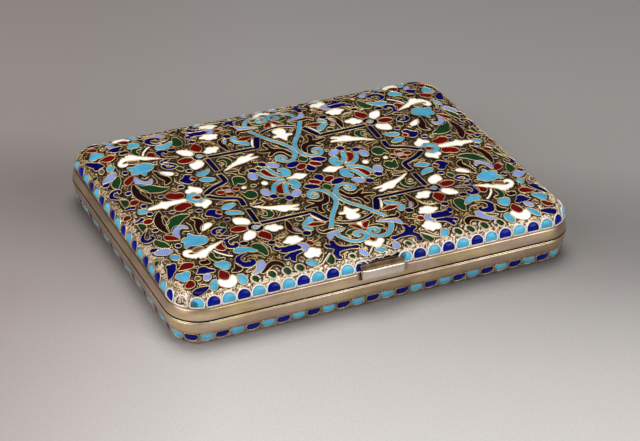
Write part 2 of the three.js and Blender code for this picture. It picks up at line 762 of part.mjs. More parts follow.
function strapClip(side, clipBottom) {
  const mouth = STRAP_LENGTH / 2 - CLIP_GRIP;
  const span = [mouth, mouth + CLIP_DEPTH].map((x) => side * x).sort((a, b) => a - b);
  const body = box(
    span,
    around(0, STRAP_WIDTH + 2 * CLIP_SIDE),
    [clipBottom, clipBottom + CLIP_HEIGHT],
  );
  const slotSpan = [0, STRAP_LENGTH / 2 + STRAP_PLAY].map((x) => side * x).sort((a, b) => a - b);
  const slot = box(
    slotSpan,
    around(0, STRAP_WIDTH + 4 * CLIP_SIDE),
    [clipBottom + CLIP_SHEET, clipBottom + CLIP_HEIGHT - CLIP_SHEET],
  );
  return cut(body, slot);
}

const BASE_CLIP_BOTTOM = LINING + SEAT_GAP;
const LID_CLIP_BOTTOM = SHOULDER_TOP - LINING - SEAT_GAP - CLIP_HEIGHT;

// Assembly
const caseAssembly = new THREE.Group();
const frontReach = CASE_DEPTH / 2 + PUSH_PROUD;
const backReach = HINGE_Y + KNUCKLE_RADIUS;
caseAssembly.position.y = (frontReach - backReach) / 2;

function add(name, geometry, finish) {
  const mesh = new THREE.Mesh(welded(geometry), new THREE.MeshStandardMaterial(finish));
  mesh.name = name;
  caseAssembly.add(mesh);
}

add('lid_shell', lidShell(), SILVER_GILT);
add('lid_enamel_field', lidField(), ENAMEL_FIELD);
add('lid_bead_border', lidBeadBorder(), ENAMEL_BEADS);
add('lid_edge_wire', cut(edgeWire(BAND_TOP, 1), pushSlot()), BRIGHT_GILT);
add('lid_hinge_bearer', hingeBearer([LID_RIM, LIP_TOP]), SILVER_GILT);
add('spring_keeper_left', springKeeper(-1), SILVER_GILT);
add('spring_keeper_right', springKeeper(1), SILVER_GILT);
add('lid_strap', strap(LID_CLIP_BOTTOM), ELASTIC);
add('lid_strap_clip_left', strapClip(-1, LID_CLIP_BOTTOM), GILT_INSIDE);
add('lid_strap_clip_right', strapClip(1, LID_CLIP_BOTTOM), GILT_INSIDE);

add('push_piece', pushPiece(), SILVER_GILT);
add('catch_spring', catchSpring(), STEEL);

add('base_shell', baseShell(), SILVER_GILT);
add('base_enamel_field', baseField(), ENAMEL_FIELD);
add('base_bead_border', baseBeadBorder(), ENAMEL_BEADS);
add('base_edge_wire', edgeWire(BAND_BOTTOM, -1), BRIGHT_GILT);
add('base_rim', baseRim(), BRIGHT_GILT);
add('base_lip', baseLip(), GILT_INSIDE);
add('base_hinge_bearer', hingeBearer([LIP_BOTTOM, BASE_RIM_TOP]), SILVER_GILT);
add('catch_plate', catchPlate(), GILT_INSIDE);
add('base_strap', strap(BASE_CLIP_BOTTOM), ELASTIC);
add('base_strap_clip_left', strapClip(-1, BASE_CLIP_BOTTOM), GILT_INSIDE);
add('base_strap_clip_right', strapClip(1, BASE_CLIP_BOTTOM), GILT_INSIDE);

for (let index = 0; index < KNUCKLE_COUNT; index += 1) {
  const owner = index % 2 === 0 ? 'base' : 'lid';
  add(`${owner}_knuckle_${Math.floor(index / 2) + 1}`, knuckle(index), SILVER_GILT);
}
add('hinge_pin', hingePin(), STEEL);
add('pin_plug_left', pinPlug(-1), SILVER_GILT);
add('pin_plug_right', pinPlug(1), SILVER_GILT);

export default caseAssembly;
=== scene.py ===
# Looks of the cloisonne cigarette case: smooth metalwork, wires, enamels and woven straps.
# All is built in millimetres and laid on the same shoulder and dome as the solids.

import math

import bpy
import numpy as np
from mathutils import Matrix, Vector
from mathutils.geometry import delaunay_2d_cdt
from mathutils.kdtree import KDTree


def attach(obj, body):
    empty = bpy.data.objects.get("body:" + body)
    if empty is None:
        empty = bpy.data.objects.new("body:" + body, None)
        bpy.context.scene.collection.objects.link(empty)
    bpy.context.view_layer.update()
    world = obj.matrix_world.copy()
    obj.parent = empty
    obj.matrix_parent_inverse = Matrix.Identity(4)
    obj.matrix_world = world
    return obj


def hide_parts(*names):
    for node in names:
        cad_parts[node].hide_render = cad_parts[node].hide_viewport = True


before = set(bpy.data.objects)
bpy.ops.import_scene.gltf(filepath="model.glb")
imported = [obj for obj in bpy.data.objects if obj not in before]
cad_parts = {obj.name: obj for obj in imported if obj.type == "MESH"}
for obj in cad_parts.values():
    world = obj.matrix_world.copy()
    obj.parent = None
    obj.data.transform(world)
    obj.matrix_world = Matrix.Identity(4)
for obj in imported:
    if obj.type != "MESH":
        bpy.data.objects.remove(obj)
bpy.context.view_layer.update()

# Sizes of the case in millimetres, as in its solids
CASE_LENGTH = 110.0
CASE_DEPTH = 84.3
CORNER_RADIUS = 8.7
SHOULDER_TOP = 14.5
LID_CROWN = 1.6
LID_FLATNESS = 8
SEAM_HEIGHT = 7.9
SHOULDER_HEIGHT = 3.8
SHOULDER_INSET = 2.7
BAND_BOW = 0.6
WALL = 0.8
ENAMEL = 0.65
LINING = 1.3
SEAT_GAP = 0.05
BEAD_COUNT = 92
BEAD_HEIGHT = 3.3
BASE_BEAD_OFFSET = -1.05
EDGE_WIRE_RADIUS = 0.24
BEAD_ROW_START = 2 * (SEAT_GAP + EDGE_WIRE_RADIUS)
BEAD_START = BEAD_ROW_START + 0.15
BEAD_ROW_END = BEAD_START + BEAD_HEIGHT + 0.15
RIM_HEIGHT = 0.4
RIM_PROUD = 0.08
LIP_OUTER = 0.9
LIP_INNER = 1.4
LIP_TOP = 9.4
LIP_BOTTOM = 5.3
HINGE_LENGTH = 90.0
KNUCKLE_COUNT = 7
KNUCKLE_GAP = 0.15
KNUCKLE_RADIUS = 1.2
KNUCKLE_CLEARANCE = 0.1
HINGE_Y = CASE_DEPTH / 2 + 0.1
PIN_RADIUS = 0.5
PUSH_CENTRE_X = -0.95
PUSH_WIDTH = 11.7
PUSH_PROUD = 0.95
PUSH_BACK_INSET = 1.05
PUSH_SLOT_BACK = 1.725
PUSH_LIP = SEAM_HEIGHT + 4.1
PUSH_BACK = SEAM_HEIGHT + 5.0
PUSH_SIDE_CLEARANCE = 0.15
STRAP_LENGTH = 95.0
STRAP_WIDTH = 8.0
STRAP_THICKNESS = 0.8

# Sizes of the visible work alone
GLASS_WIDTH = 3.42
GLASS_HEIGHT = 2.45
GLASS_FLAT = 3.06
GLASS_START = 0.6
BASE_GLASS_START = 0.2
SEAM_UPPER = 7.8
SEAM_LOWER = 7.5
PUSH_FOOT = 9.2
TEAR_RUN = 2.75

BAND_TOP = SHOULDER_TOP - SHOULDER_HEIGHT
BAND_BOTTOM = SHOULDER_HEIGHT
FIELD_INSET = BAND_BOW + SHOULDER_INSET
STRAIGHT_X = CASE_LENGTH / 2 - CORNER_RADIUS
STRAIGHT_Y = CASE_DEPTH / 2 - CORNER_RADIUS
FRONT_Y = -CASE_DEPTH / 2
Y_SHIFT = -0.175  # brings the middle of the outer box over the origin
MM = 0.001
LID, BASE = 1, -1

# Depths of the enamelled surface under the finished one
CELL_EDGE = -0.13
CELL_MIDDLE = -0.03
GROUND_LOW = -0.36
GROUND_HIGH = -0.14
GROOVE_PLACE = 0.32  # middle of the groove beside a cell, painted dark as shade, from the cell's edge
CELL_SPREAD = 0.1  # how far the glass runs out past the drawn outline
CROWN_FADE = 0.6  # how far in from the shoulder the lid's crown comes in
GLASS_CURVE = 0.25  # the glass of a cell rises over this distance from its edge
RIM_FADE = 0.05  # and its rim, painted dark as shade, is about this wide
WIRE_OFFSET, BEAD_WIRE_OFFSET = 0.08, 0.14  # from an outline to the middle of its wire
FREE_WIRE_ROOM = 0.2  # left between a free wire and a cell
GROOVE_FLAT, GROOVE_FADE = 0.1, 0.14
GROOVE_DEPTH = 0.92  # the share of a grain's height that is lost in the groove
GRAIN_SHIFT = 0.3  # of a step, either way
BORDER_WIDTH, BORDER_FADE = 1.5, 2.5  # of the paler ground along the edges of the field

# Camera, fitted to the photograph's edges
CAMERA_AZIMUTH = math.radians(-25.159)
CAMERA_ELEVATION = math.radians(30.886)
CAMERA_ROLL = math.radians(1.043)
CAMERA_DISTANCE = 0.5493
CAMERA_TARGET = Vector((0.002258, 0.001632 + Y_SHIFT * MM, 0.0))
CAMERA_LENS = 116.426


def placed(name, data):
    """A new object in the scene."""
    made = bpy.data.objects.new(name, data)
    bpy.context.scene.collection.objects.link(made)
    return made


def make_camera():
    """The camera stands back from its target along its azimuth and elevation, rolled a little."""
    data = bpy.data.cameras.new("camera")
    data.sensor_width = 36.0
    data.lens = CAMERA_LENS
    data.clip_start, data.clip_end = 0.01, 50.0
    flat = math.cos(CAMERA_ELEVATION)
    back = Vector((math.sin(CAMERA_AZIMUTH) * flat, -math.cos(CAMERA_AZIMUTH) * flat,
                   math.sin(CAMERA_ELEVATION)))
    right = Vector((0, 0, 1)).cross(back).normalized()
    up = back.cross(right)
    cos, sin = math.cos(CAMERA_ROLL), math.sin(CAMERA_ROLL)
    right, up = right * cos + up * sin, up * cos - right * sin
    turn = Matrix((right, up, back)).transposed()
    camera = placed("camera", data)
    camera.matrix_world = Matrix.Translation(CAMERA_TARGET + back * CAMERA_DISTANCE) @ turn.to_4x4()
    bpy.context.scene.camera = camera


make_camera()


# Materials
def srgb(*shades):
    """A colour given in a screen's 0 to 255, as the linear one that a shader takes."""
    linear = [v / 12.92 if v <= 0.04045 else ((v + 0.055) / 1.055) ** 2.4 for v in (s / 255 for s in shades)]
    return (*linear, 1.0)


class Nodes:
    """A material and short calls that add nodes to it."""

    def __init__(self, name):
        self.material = bpy.data.materials.new(name)
        self.material.use_nodes = True
        self.tree = self.material.node_tree
        self.place = self.add("TexCoord").outputs["Object"]

    def feed(self, socket, value):
        """Sets a plain value on a socket, or links another node's output to it."""
        if isinstance(value, (int, float, tuple)):
            socket.default_value = value
        else:
            self.tree.links.new(value, socket)

    def add(self, kind, **values):
        node = self.tree.nodes.new("ShaderNode" + kind)
        for name, value in values.items():
            self.feed(node.inputs[name.replace("_", " ")], value)
        return node

    def stretched(self, scale):
        return self.add("Mapping", Vector=self.place, Scale=scale).outputs["Vector"]

    def noise(self, scale, detail=2.0, roughness=0.5, vector=None):
        return self.add("TexNoise", Vector=vector or self.place, Scale=scale, Detail=detail,
                        Roughness=roughness).outputs["Fac"]

    def cells(self, scale):
        return self.add("TexVoronoi", Vector=self.place, Scale=scale).outputs["Distance"]

    def attribute(self, name):
        node = self.add("Attribute")
        node.attribute_name = name
        return node.outputs["Fac"]

    def spread(self, value, low, high, to_low=0.0, to_high=1.0):
        return self.add("MapRange", Value=value, From_Min=low, From_Max=high, To_Min=to_low,
                        To_Max=to_high).outputs["Result"]

    def maths(self, operation, first, second=0.0, kind="Math"):
        node = self.add(kind)
        node.operation = operation
        self.feed(node.inputs[0], first)
        self.feed(node.inputs[1], second)
        return node.outputs["Value"]

    def ramp(self, value, stops):
        node = self.add("ValToRGB", Fac=value)
        line = node.color_ramp.elements
        while len(line) < len(stops):
            line.new(0.5)
        for point, (place, *shades) in zip(line, stops):
            point.position, point.color = place, srgb(*shades)
        return node.outputs["Color"]

    def mix(self, share, first, second):
        node = self.add("Mix")
        node.data_type = "RGBA"
        factor = next(s for s in node.inputs if s.bl_idname == "NodeSocketFloatFactor")
        colours = [s for s in node.inputs if s.bl_idname == "NodeSocketColor"]
        for socket, value in zip([factor, *colours], (share, first, second)):
            self.feed(socket, value)
        return next(s for s in node.outputs if s.bl_idname == "NodeSocketColor")

    def bump(self, height, distance, strength, **normal):
        node = self.add("Bump", Strength=strength, Distance=distance, Height=height, **normal)
        return node.outputs["Normal"]

    def set(self, **values):
        for name, value in values.items():
            self.feed(self.tree.nodes["Principled BSDF"].inputs[name.replace("_", " ")], value)
        return self.material


def metal(name, bright, dull, rough, scratch=0.6, wear_scale=90.0, blush=0.0):
    """Worn sheet metal: cloudy tarnish, fine scratches, small pits and streaks of tarnish colours."""
    n = Nodes(name)
    bright, dull = srgb(*bright), srgb(*dull)
    clouds = n.noise(wear_scale, 4.0, 0.6)
    specks = n.noise(1500.0, 2.0, 0.6)
    streaks = n.noise(260.0, 3.0, 0.6, n.stretched((1.0, 1.0, 14.0)))
    tint = n.mix(n.spread(clouds, 0.35, 0.68), bright, dull)
    tint = n.mix(n.spread(specks, 0.62, 0.8, 0.0, 0.45), tint, dull)
    if blush:
        bloom = n.noise(300.0, 3.0, 0.6, n.stretched((0.3, 0.3, 1.6)))
        tint = n.mix(n.spread(bloom, 0.45, 0.68, 0.0, blush), tint, srgb(206, 172, 168))
        tint = n.mix(n.spread(bloom, 0.5, 0.3, 0.0, blush), tint, srgb(236, 208, 140))
    wear = n.maths("ADD", n.spread(clouds, 0.3, 0.7, rough - 0.05, rough + 0.09),
                   n.spread(streaks, 0.35, 0.65, -0.05, 0.06))
    normal = n.bump(streaks, 0.00002, scratch)
    normal = n.bump(specks, 0.00001, 0.5, Normal=normal)
    return n.set(Base_Color=tint, Metallic=1.0, Roughness=wear, Normal=normal)


def wire_metal(name, bright, dull, polish):
    """Twisted gilt wire. The mesh stores the run along the wire and how deep each point lies; deep points and
    the troughs of the twist are painted darker as shade.
    """
    n = Nodes(name)
    clouds = n.noise(140.0, 3.0, 0.6)
    twist = n.maths("SINE", n.maths("MULTIPLY", n.attribute("run"), 12.0))
    tint = n.mix(n.spread(clouds, 0.42, 0.7), srgb(*bright), srgb(*dull))
    # Painted shade in the troughs of the twist, and near black where the wire lies deep.
    tint = n.mix(n.spread(twist, -1.0, -0.2, 0.35, 0.0), tint, srgb(*dull))
    tint = n.mix(n.spread(n.attribute("deep"), 0.15, 0.8), tint, srgb(14, 9, 6))
    return n.set(Base_Color=tint, Metallic=n.spread(n.attribute("deep"), 0.2, 0.9, polish, 0.1),
                 Roughness=n.spread(clouds, 0.3, 0.7, 0.24, 0.4), Normal=n.bump(twist, 0.00004, 0.7),
                 Specular_IOR_Level=0.15)


def ground_metal():
    """Matted gilt ground: bright grains and dark patina between them."""
    n = Nodes("stippled_gilt")
    grains = n.cells(3600.0)
    clouds = n.noise(120.0, 3.0, 0.6)
    grit = n.noise(4600.0, 2.0, 0.7)
    height = n.attribute("height")
    height = n.maths("ADD", height, n.spread(grit, 0.3, 0.7, -0.24, 0.24))
    height = n.maths("ADD", height, n.spread(clouds, 0.3, 0.7, -0.08, 0.08))
    tint = n.ramp(height, [(0.0, 5, 3, 2), (0.28, 24, 16, 10), (0.55, 92, 64, 34), (0.78, 198, 158, 92),
                           (1.0, 255, 238, 190)])
    pale = n.ramp(height, [(0.0, 10, 7, 5), (0.25, 56, 43, 33), (0.5, 152, 128, 102), (0.7, 228, 204, 174),
                           (1.0, 255, 246, 226)])
    # Painted light: the edge mark, strongest towards the front, makes the ground paler.
    tint = n.mix(n.spread(n.attribute("edge"), 0.1, 0.75), tint, pale)
    return n.set(Base_Color=tint, Metallic=n.spread(height, 0.45, 0.9, 0.1, 0.7), Specular_IOR_Level=0.15,
                 Roughness=n.spread(grit, 0.3, 0.7, 0.4, 0.62), Normal=n.bump(grains, 0.00012, 0.8))


def enamel(name, colour, deep, shine=0.16, gloss=0.14):
    """Fired glass: one colour that varies from cell to cell, mottled, with pits and fine waves."""
    n = Nodes(name)
    deep = srgb(*deep)
    tone = n.attribute("tone")
    mottle = n.noise(420.0, 3.0, 0.55)
    pits = n.cells(900.0)
    rim = n.attribute("rim")
    tint = n.mix(n.spread(mottle, 0.36, 0.68, 0.0, 0.5), srgb(*colour), deep)
    tint = n.mix(n.spread(tone, 0.0, 1.0, 0.0, 0.45), tint, deep)
    # Painted shade at the rim beside the wire: first towards the deep colour, then near black.
    tint = n.mix(n.spread(rim, 0.0, 0.7, 0.0, 0.4), tint, deep)
    tint = n.mix(n.spread(rim, 0.55, 1.0, 0.0, 0.75), tint, srgb(22, 15, 11))
    tint = n.mix(n.spread(pits, 0.0, 0.1, 0.5, 0.0), tint, srgb(40, 32, 30))
    normal = n.bump(mottle, 0.00003, 0.5)
    normal = n.bump(n.spread(pits, 0.0, 0.16), 0.00003, 0.6, Normal=normal)
    return n.set(Base_Color=tint, Roughness=n.spread(mottle, 0.3, 0.7, shine, shine + 0.12),
                 Normal=normal, Specular_IOR_Level=gloss, Coat_Weight=gloss / 5, Coat_Roughness=0.06)


def woven():
    """Elastic webbing: fine ribs along the strap and picks across it."""
    n = Nodes("elastic_weave")
    split = n.add("SeparateXYZ", Vector=n.place)
    ribs = n.maths("SINE", n.maths("MULTIPLY", split.outputs["Y"], 9000.0))
    picks = n.maths("SINE", n.maths("MULTIPLY", split.outputs["X"], 6500.0))
    weave = n.maths("MULTIPLY", ribs, picks)
    fuzz = n.noise(900.0, 3.0, 0.6)
    tint = n.mix(n.spread(weave, -1.0, 1.0), srgb(176, 152, 106), srgb(208, 186, 140))
    tint = n.mix(n.spread(fuzz, 0.4, 0.75, 0.0, 0.4), tint, srgb(140, 118, 82))
    return n.set(Base_Color=tint, Roughness=n.spread(fuzz, 0.3, 0.7, 0.72, 0.92),
                 Normal=n.bump(weave, 0.00008, 0.8), Sheen_Weight=0.3)


GILT_BAND = metal("gilt_band", (226, 204, 171), (172, 148, 120), 0.3, blush=0.6)
GILT_RIM = metal("gilt_rim", (250, 236, 204), (206, 182, 140), 0.22)
GILT_SHADE = metal("gilt_shade", (34, 20, 13), (14, 8, 6), 0.7)
GILT_INSIDE = metal("gilt_inside", (240, 206, 134), (204, 162, 92), 0.24, 0.4, 60.0)
GILT_PUSH = metal("gilt_push", (250, 241, 232), (216, 200, 184), 0.2, 0.25)
PUSH_TOP_WEAR_AND_SHADE = metal("gilt_push_top_worn_and_shaded", (128, 106, 78), (70, 52, 38), 0.42, 0.9, 240.0)
# The torn strip's metal is painted dark as shade.
TEAR_SHADE = metal("tear_painted_shade", (70, 56, 42), (24, 18, 14), 0.6)
STEEL = metal("spring_steel_worn", (176, 178, 182), (112, 112, 114), 0.3)
WIRE = wire_metal("gilt_wire", (248, 222, 168), (156, 124, 80), 0.8)
# The base's bead wires take a darker copy of the wire metal: painted shade on the lower row.
BASE_BEAD_SHADED_METAL = wire_metal("base_bead_gilt_wire_shaded", (214, 190, 156), (136, 110, 78), 0.8)
# The base's twisted edge wire takes a brighter copy of the wire metal: painted highlight along the bottom.
BASE_EDGE_LIT = wire_metal("base_edge_gilt_wire_lit", (255, 244, 212), (220, 190, 140), 0.8)
SIDE_BEAD_SHADED_METAL = wire_metal("side_bead_gilt_wire_shaded", (226, 204, 164), (128, 104, 74), 0.8)
BEAD_METAL = wire_metal("bead_gilt_wire", (255, 250, 246), (240, 228, 216), 0.2)
GROUND = ground_metal()
ELASTIC = woven()
COLOURS = ["cobalt", "turquoise", "lavender", "white", "green", "red", "maroon", "navy", "taupe", "cream"]
COBALT, TURQUOISE, LAVENDER, WHITE, GREEN, RED, MAROON, NAVY, TAUPE, CREAM = range(len(COLOURS))
ENAMELS = [enamel(f"enamel_{colour}", *glass) for colour, glass in zip(COLOURS, [
    ((5, 8, 104), (2, 1, 38), 0.16, 0.05),
    ((92, 182, 218), (50, 120, 152)),
    ((146, 166, 216), (104, 120, 184)),
    ((248, 246, 243), (238, 233, 228)),
    ((26, 70, 36), (10, 32, 18), 0.16, 0.05),
    ((120, 10, 9), (62, 4, 5), 0.16, 0.06),
    ((38, 10, 13), (18, 5, 7), 0.3, 0.03),
    ((7, 5, 60), (3, 2, 26), 0.16, 0.04),
    ((112, 92, 80), (74, 58, 50), 0.16, 0.06),
    ((252, 244, 226), (224, 208, 184)),
])]
BEAD_ENAMELS = [enamel("bead_cobalt", (8, 26, 150), (2, 2, 62), 0.1, 0.12),
                enamel("bead_turquoise", (104, 202, 236), (62, 150, 186), 0.1, 0.2)]


# Meshes
class Skin:
    """Points in millimetres, faces, and values stored with the points."""

    def __init__(self):
        self.points, self.faces, self.values = [], [], {}
        self.count = 0

    def add(self, points, faces, **values):
        self.points.append(np.asarray(points, float))
        self.faces.extend((np.asarray(f) + self.count).tolist() for f in faces)
        for name, value in values.items():
            value = np.broadcast_to(np.asarray(value, float), (len(points),))
            self.values.setdefault(name, []).append(value)
        self.count += len(points)
        return self


def mesh_of(name, points, faces):
    mesh = bpy.data.meshes.new(name)
    mesh.from_pydata(((np.asarray(points, float) + (0, Y_SHIFT, 0)) * MM).tolist(), [], faces)
    return mesh


def build(name, skin, materials, body, replaces=(), kinds=None, smooth=True):
    """Makes the object of a skin, which rides on a body. The kinds say each face's material."""
    mesh = mesh_of(name, np.vstack(skin.points), skin.faces)
    for key, parts in skin.values.items():
        layer = mesh.attributes.new(key, "FLOAT", "POINT")
        layer.data.foreach_set("value", np.concatenate(parts).astype(np.float32))
    for material in materials if isinstance(materials, list) else [materials]:
        mesh.materials.append(material)
    if kinds is not None:
        mesh.polygons.foreach_set("material_index", np.asarray(kinds, np.int32))
    mesh.polygons.foreach_set("use_smooth", np.full(len(mesh.polygons), smooth))
    mesh.update()
    made = placed(name, mesh)
    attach(made, body)
    if replaces:
        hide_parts(*replaces)
    return made


def fixed(made):
    """Applies the modifiers of an object to its mesh."""
    graph = bpy.context.evaluated_depsgraph_get()
    mesh = bpy.data.meshes.new_from_object(made.evaluated_get(graph), depsgraph=graph)
    made.modifiers.clear()
    made.data = mesh
    return made


def cut_away(made, *tools):
    """Cuts the tools out of an object and removes them."""
    for tool in tools:
        step = made.modifiers.new("cut", "BOOLEAN")
        step.operation = "DIFFERENCE"
        step.solver = "EXACT"
        step.object = tool
    fixed(made)
    for tool in tools:
        bpy.data.objects.remove(tool, do_unlink=True)
    return made


def tool_object(points, faces, mark=0):
    """A solid to cut with. The faces that it leaves take the material in the slot of its mark."""
    mesh = mesh_of("tool", points, faces)
    for _ in range(mark + 1):
        mesh.materials.append(None)
    mesh.polygons.foreach_set("material_index", [mark] * len(faces))
    return placed("tool", mesh)


def box(x, y, z):
    """Corners and faces of a box, from its low and high value on each axis."""
    corners = [(a, b, c) for c in z for a, b in ((x[0], y[0]), (x[1], y[0]), (x[1], y[1]), (x[0], y[1]))]
    return corners, [(0, 3, 2, 1), (4, 5, 6, 7), (0, 1, 5, 4), (1, 2, 6, 5), (2, 3, 7, 6), (3, 0, 4, 7)]


def sheet_quads(count, wide, closed=False, wrapped=False):
    """Faces between the rows of a sheet: count rows of wide points, joined end to end or side to side."""
    i = np.arange(count if closed else count - 1)[:, None]
    j = (i + 1) % count
    k = np.arange(wide if wrapped else wide - 1)[None]
    m = (k + 1) % wide
    return np.stack([i * wide + k, i * wide + m, j * wide + m, j * wide + k], -1).reshape(-1, 4)


def turned_over(quads):
    return quads[:, [0, 3, 2, 1]]


def unit(vectors):
    return vectors / np.maximum(np.linalg.norm(vectors, axis=1)[:, None], 1e-9)


def runs_left(loop):
    """Whether a closed outline runs counterclockwise."""
    ahead = np.roll(loop, -1, 0)
    return (loop[:, 0] * ahead[:, 1] - ahead[:, 0] * loop[:, 1]).sum() > 0


# Outline, shoulder and dome
def outline(inset, corner_steps=14, x_steps=44, y_steps=34):
    """Plan points round the case, a little inside its widest outline."""
    points = []
    corners = [(STRAIGHT_X, -STRAIGHT_Y, -90, y_steps), (STRAIGHT_X, STRAIGHT_Y, 0, x_steps),
               (-STRAIGHT_X, STRAIGHT_Y, 90, y_steps), (-STRAIGHT_X, -STRAIGHT_Y, 180, x_steps)]
    radius = CORNER_RADIUS - inset
    for (x, y, start, count), (nx, ny, turn, _) in zip(corners, corners[1:] + corners[:1]):
        t = np.radians(start + np.linspace(0, 90, corner_steps + 1))
        arc = np.c_[x + radius * np.cos(t), y + radius * np.sin(t)]
        a = math.radians(turn)
        end = np.array([nx + radius * math.cos(a), ny + radius * math.sin(a)])
        share = (np.arange(1, count) / count)[:, None]
        points += [arc, arc[-1] * (1 - share) + end * share]
    return np.vstack(points)


def ring(inset, z):
    """The outline at one height."""
    points = outline(inset)
    return np.c_[points, np.full(len(points), float(z))]


def field_shares(x, y):
    """How far out on the field a point lies along and across the case, from 0 to 1."""
    return x / (CASE_LENGTH / 2 - FIELD_INSET), y / (CASE_DEPTH / 2 - FIELD_INSET)


def crown_at(x, y):
    """How high the lid's dome rises above its shoulder."""
    across, along = field_shares(x, y)
    return LID_CROWN * (1 - across ** LID_FLATNESS) * (1 - along ** LID_FLATNESS)


def dome_ring(share, depth):
    """A smaller copy of the field's outline on the dome, some depth under its surface."""
    points = outline(FIELD_INSET) * share
    return np.c_[points, SHOULDER_TOP - depth + crown_at(points[:, 0], points[:, 1])]


def shoulder(angle, depth, half=LID):
    """Inset and height of a point on the shoulder of one half."""
    inset = FIELD_INSET - (SHOULDER_INSET - depth) * np.cos(angle)
    z = BAND_TOP + (SHOULDER_HEIGHT - depth) * np.sin(angle)
    return inset, z if half == LID else BAND_BOTTOM + BAND_TOP - z


def band_inset(z):
    """How far the bowed band lies inside its widest line, the seam."""
    end = BAND_TOP if z > SEAM_HEIGHT else BAND_BOTTOM
    return BAND_BOW * ((z - SEAM_HEIGHT) / (end - SEAM_HEIGHT)) ** 2


ARC_ANGLES = np.linspace(0, math.pi / 2, 801)
ARC_RUN = np.r_[0, np.cumsum(np.hypot(
    SHOULDER_INSET * np.diff(np.cos(ARC_ANGLES)), SHOULDER_HEIGHT * np.diff(np.sin(ARC_ANGLES))))]


def shoulder_angle(run):
    """The angle on the shoulder's quarter-ellipse after a run up from the band."""
    return np.interp(run, ARC_RUN, ARC_ANGLES)


EDGE_RADIUS = CORNER_RADIUS - BAND_BOW
EDGE_ARC = EDGE_RADIUS * math.pi / 2
EDGE_LENGTH = 4 * (STRAIGHT_X + STRAIGHT_Y) + 4 * EDGE_ARC
EDGE_STOPS = np.cumsum([STRAIGHT_X, EDGE_ARC, 2 * STRAIGHT_Y, EDGE_ARC, 2 * STRAIGHT_X, EDGE_ARC,
                        2 * STRAIGHT_Y, EDGE_ARC, STRAIGHT_X])


def on_edge(distance, inset):
    """Plan points at a distance round the band's edge from the middle of the front, and the way out there."""
    s = np.mod(np.asarray(distance, float), EDGE_LENGTH)
    radius = CORNER_RADIUS - np.broadcast_to(np.asarray(inset, float), s.shape)
    leg = np.searchsorted(EDGE_STOPS, s, side="right").clip(0, 8)
    into = s - np.r_[0, EDGE_STOPS][leg]
    corner_x = np.array([0, 1, 1, 1, 1, -1, -1, -1, -1])[leg] * STRAIGHT_X
    corner_y = np.array([-1, -1, -1, 1, 1, 1, 1, -1, -1])[leg] * STRAIGHT_Y
    start = np.array([-90, -90, 0, 0, 90, 90, 180, 180, 270])[leg]
    bend = np.where(leg % 2 == 1, into / EDGE_RADIUS, 0.0)
    angle = np.radians(start) + bend
    along = np.where(leg % 2 == 1, 0.0, into)
    x = corner_x + radius * np.cos(angle) - along * np.sin(angle)
    y = corner_y + radius * np.sin(angle) + along * np.cos(angle)
    return np.c_[x, y], np.c_[np.cos(angle), np.sin(angle)]


def lifted(plan, z, out, cos, sin, lift, half):
    """Points moved off a shoulder along its normal, where its slope has this cosine and sine."""
    tilt = unit(np.c_[SHOULDER_HEIGHT * cos, SHOULDER_INSET * sin])
    lift = np.broadcast_to(np.asarray(lift, float), z.shape)
    return np.c_[plan + out * (tilt[:, :1] * lift[:, None]), z + half * tilt[:, 1] * lift]


def on_shoulder(distance, run, lift, half):
    """Points at a distance round the edge and a run up the shoulder, lifted off it."""
    angle = shoulder_angle(run)
    inset, z = shoulder(angle, 0.0, half)
    plan, out = on_edge(distance, inset)
    return lifted(plan, z, out, np.cos(angle), np.sin(angle), lift, half)


def on_field(plan, lift, half):
    """Points of the enamelled field over a plan, lifted off the finished surface."""
    x, y = plan[:, 0], plan[:, 1]
    qx, qy = np.abs(x) - STRAIGHT_X, np.abs(y) - STRAIGHT_Y
    corner = (qx > 0) & (qy > 0)
    reach = np.where(corner, np.hypot(qx, qy), np.maximum(qx, qy))
    inset = CORNER_RADIUS - reach
    out = np.where(corner[:, None], np.c_[qx, qy] / np.maximum(reach, 1e-6)[:, None],
                   np.where((qx > qy)[:, None], [[1.0, 0.0]], [[0.0, 1.0]])) * np.sign(plan)
    cos = ((FIELD_INSET - inset) / SHOULDER_INSET).clip(0, 1)
    sin = np.sin(np.arccos(cos))
    z = BAND_TOP + SHOULDER_HEIGHT * sin
    if half == LID:
        z = z + crown_at(x, y).clip(0) * ((inset - FIELD_INSET) / CROWN_FADE).clip(0, 1)
    else:
        z = BAND_BOTTOM + BAND_TOP - z
    return lifted(plan, z, out, cos, sin, lift, half)


# Ornament, drawn in plan from how far left and in front of the lid's middle each point lies
LONG, SHORT = (1, -1), (-1, 1)
LEAF_TIP = 0.12  # width of a leaf at its ends


def at(*numbers):
    """Plan points, two numbers each."""
    return 0.0 - np.reshape(numbers, (-1, 2))


def smooth_path(points, closed=False, step=0.35):
    """A smooth curve that passes through a few points."""
    p = np.asarray(points, float)
    if closed:
        q = np.vstack([p[-1], p, p[0], p[1]])
    else:
        q = np.vstack([2 * p[0] - p[1], p, 2 * p[-1] - p[-2]])
    out = []
    for i in range(1, len(q) - 2):
        a, b, c, d = q[i - 1], q[i], q[i + 1], q[i + 2]
        count = max(2, int(np.ceil(np.linalg.norm(c - b) / step)))
        t = (np.arange(count) / count)[:, None]
        out.append(0.5 * (2 * b + (c - a) * t + (2 * a - 5 * b + 4 * c - d) * t * t
                          + (3 * b - a - 3 * c + d) * t ** 3))
    if not closed:
        out.append(p[-1:])
    return np.vstack(out)


def oval(x, y, width, height, turn=0):
    count = max(14, int((width + height) * 5))
    t = np.linspace(0, 2 * math.pi, count, endpoint=False)
    a = math.radians(turn)
    u, v = width / 2 * np.cos(t), height / 2 * np.sin(t)
    return np.c_[-x + u * math.cos(a) - v * math.sin(a), -y + u * math.sin(a) + v * math.cos(a)]


def blob(*numbers):
    return smooth_path(at(*numbers), closed=True)


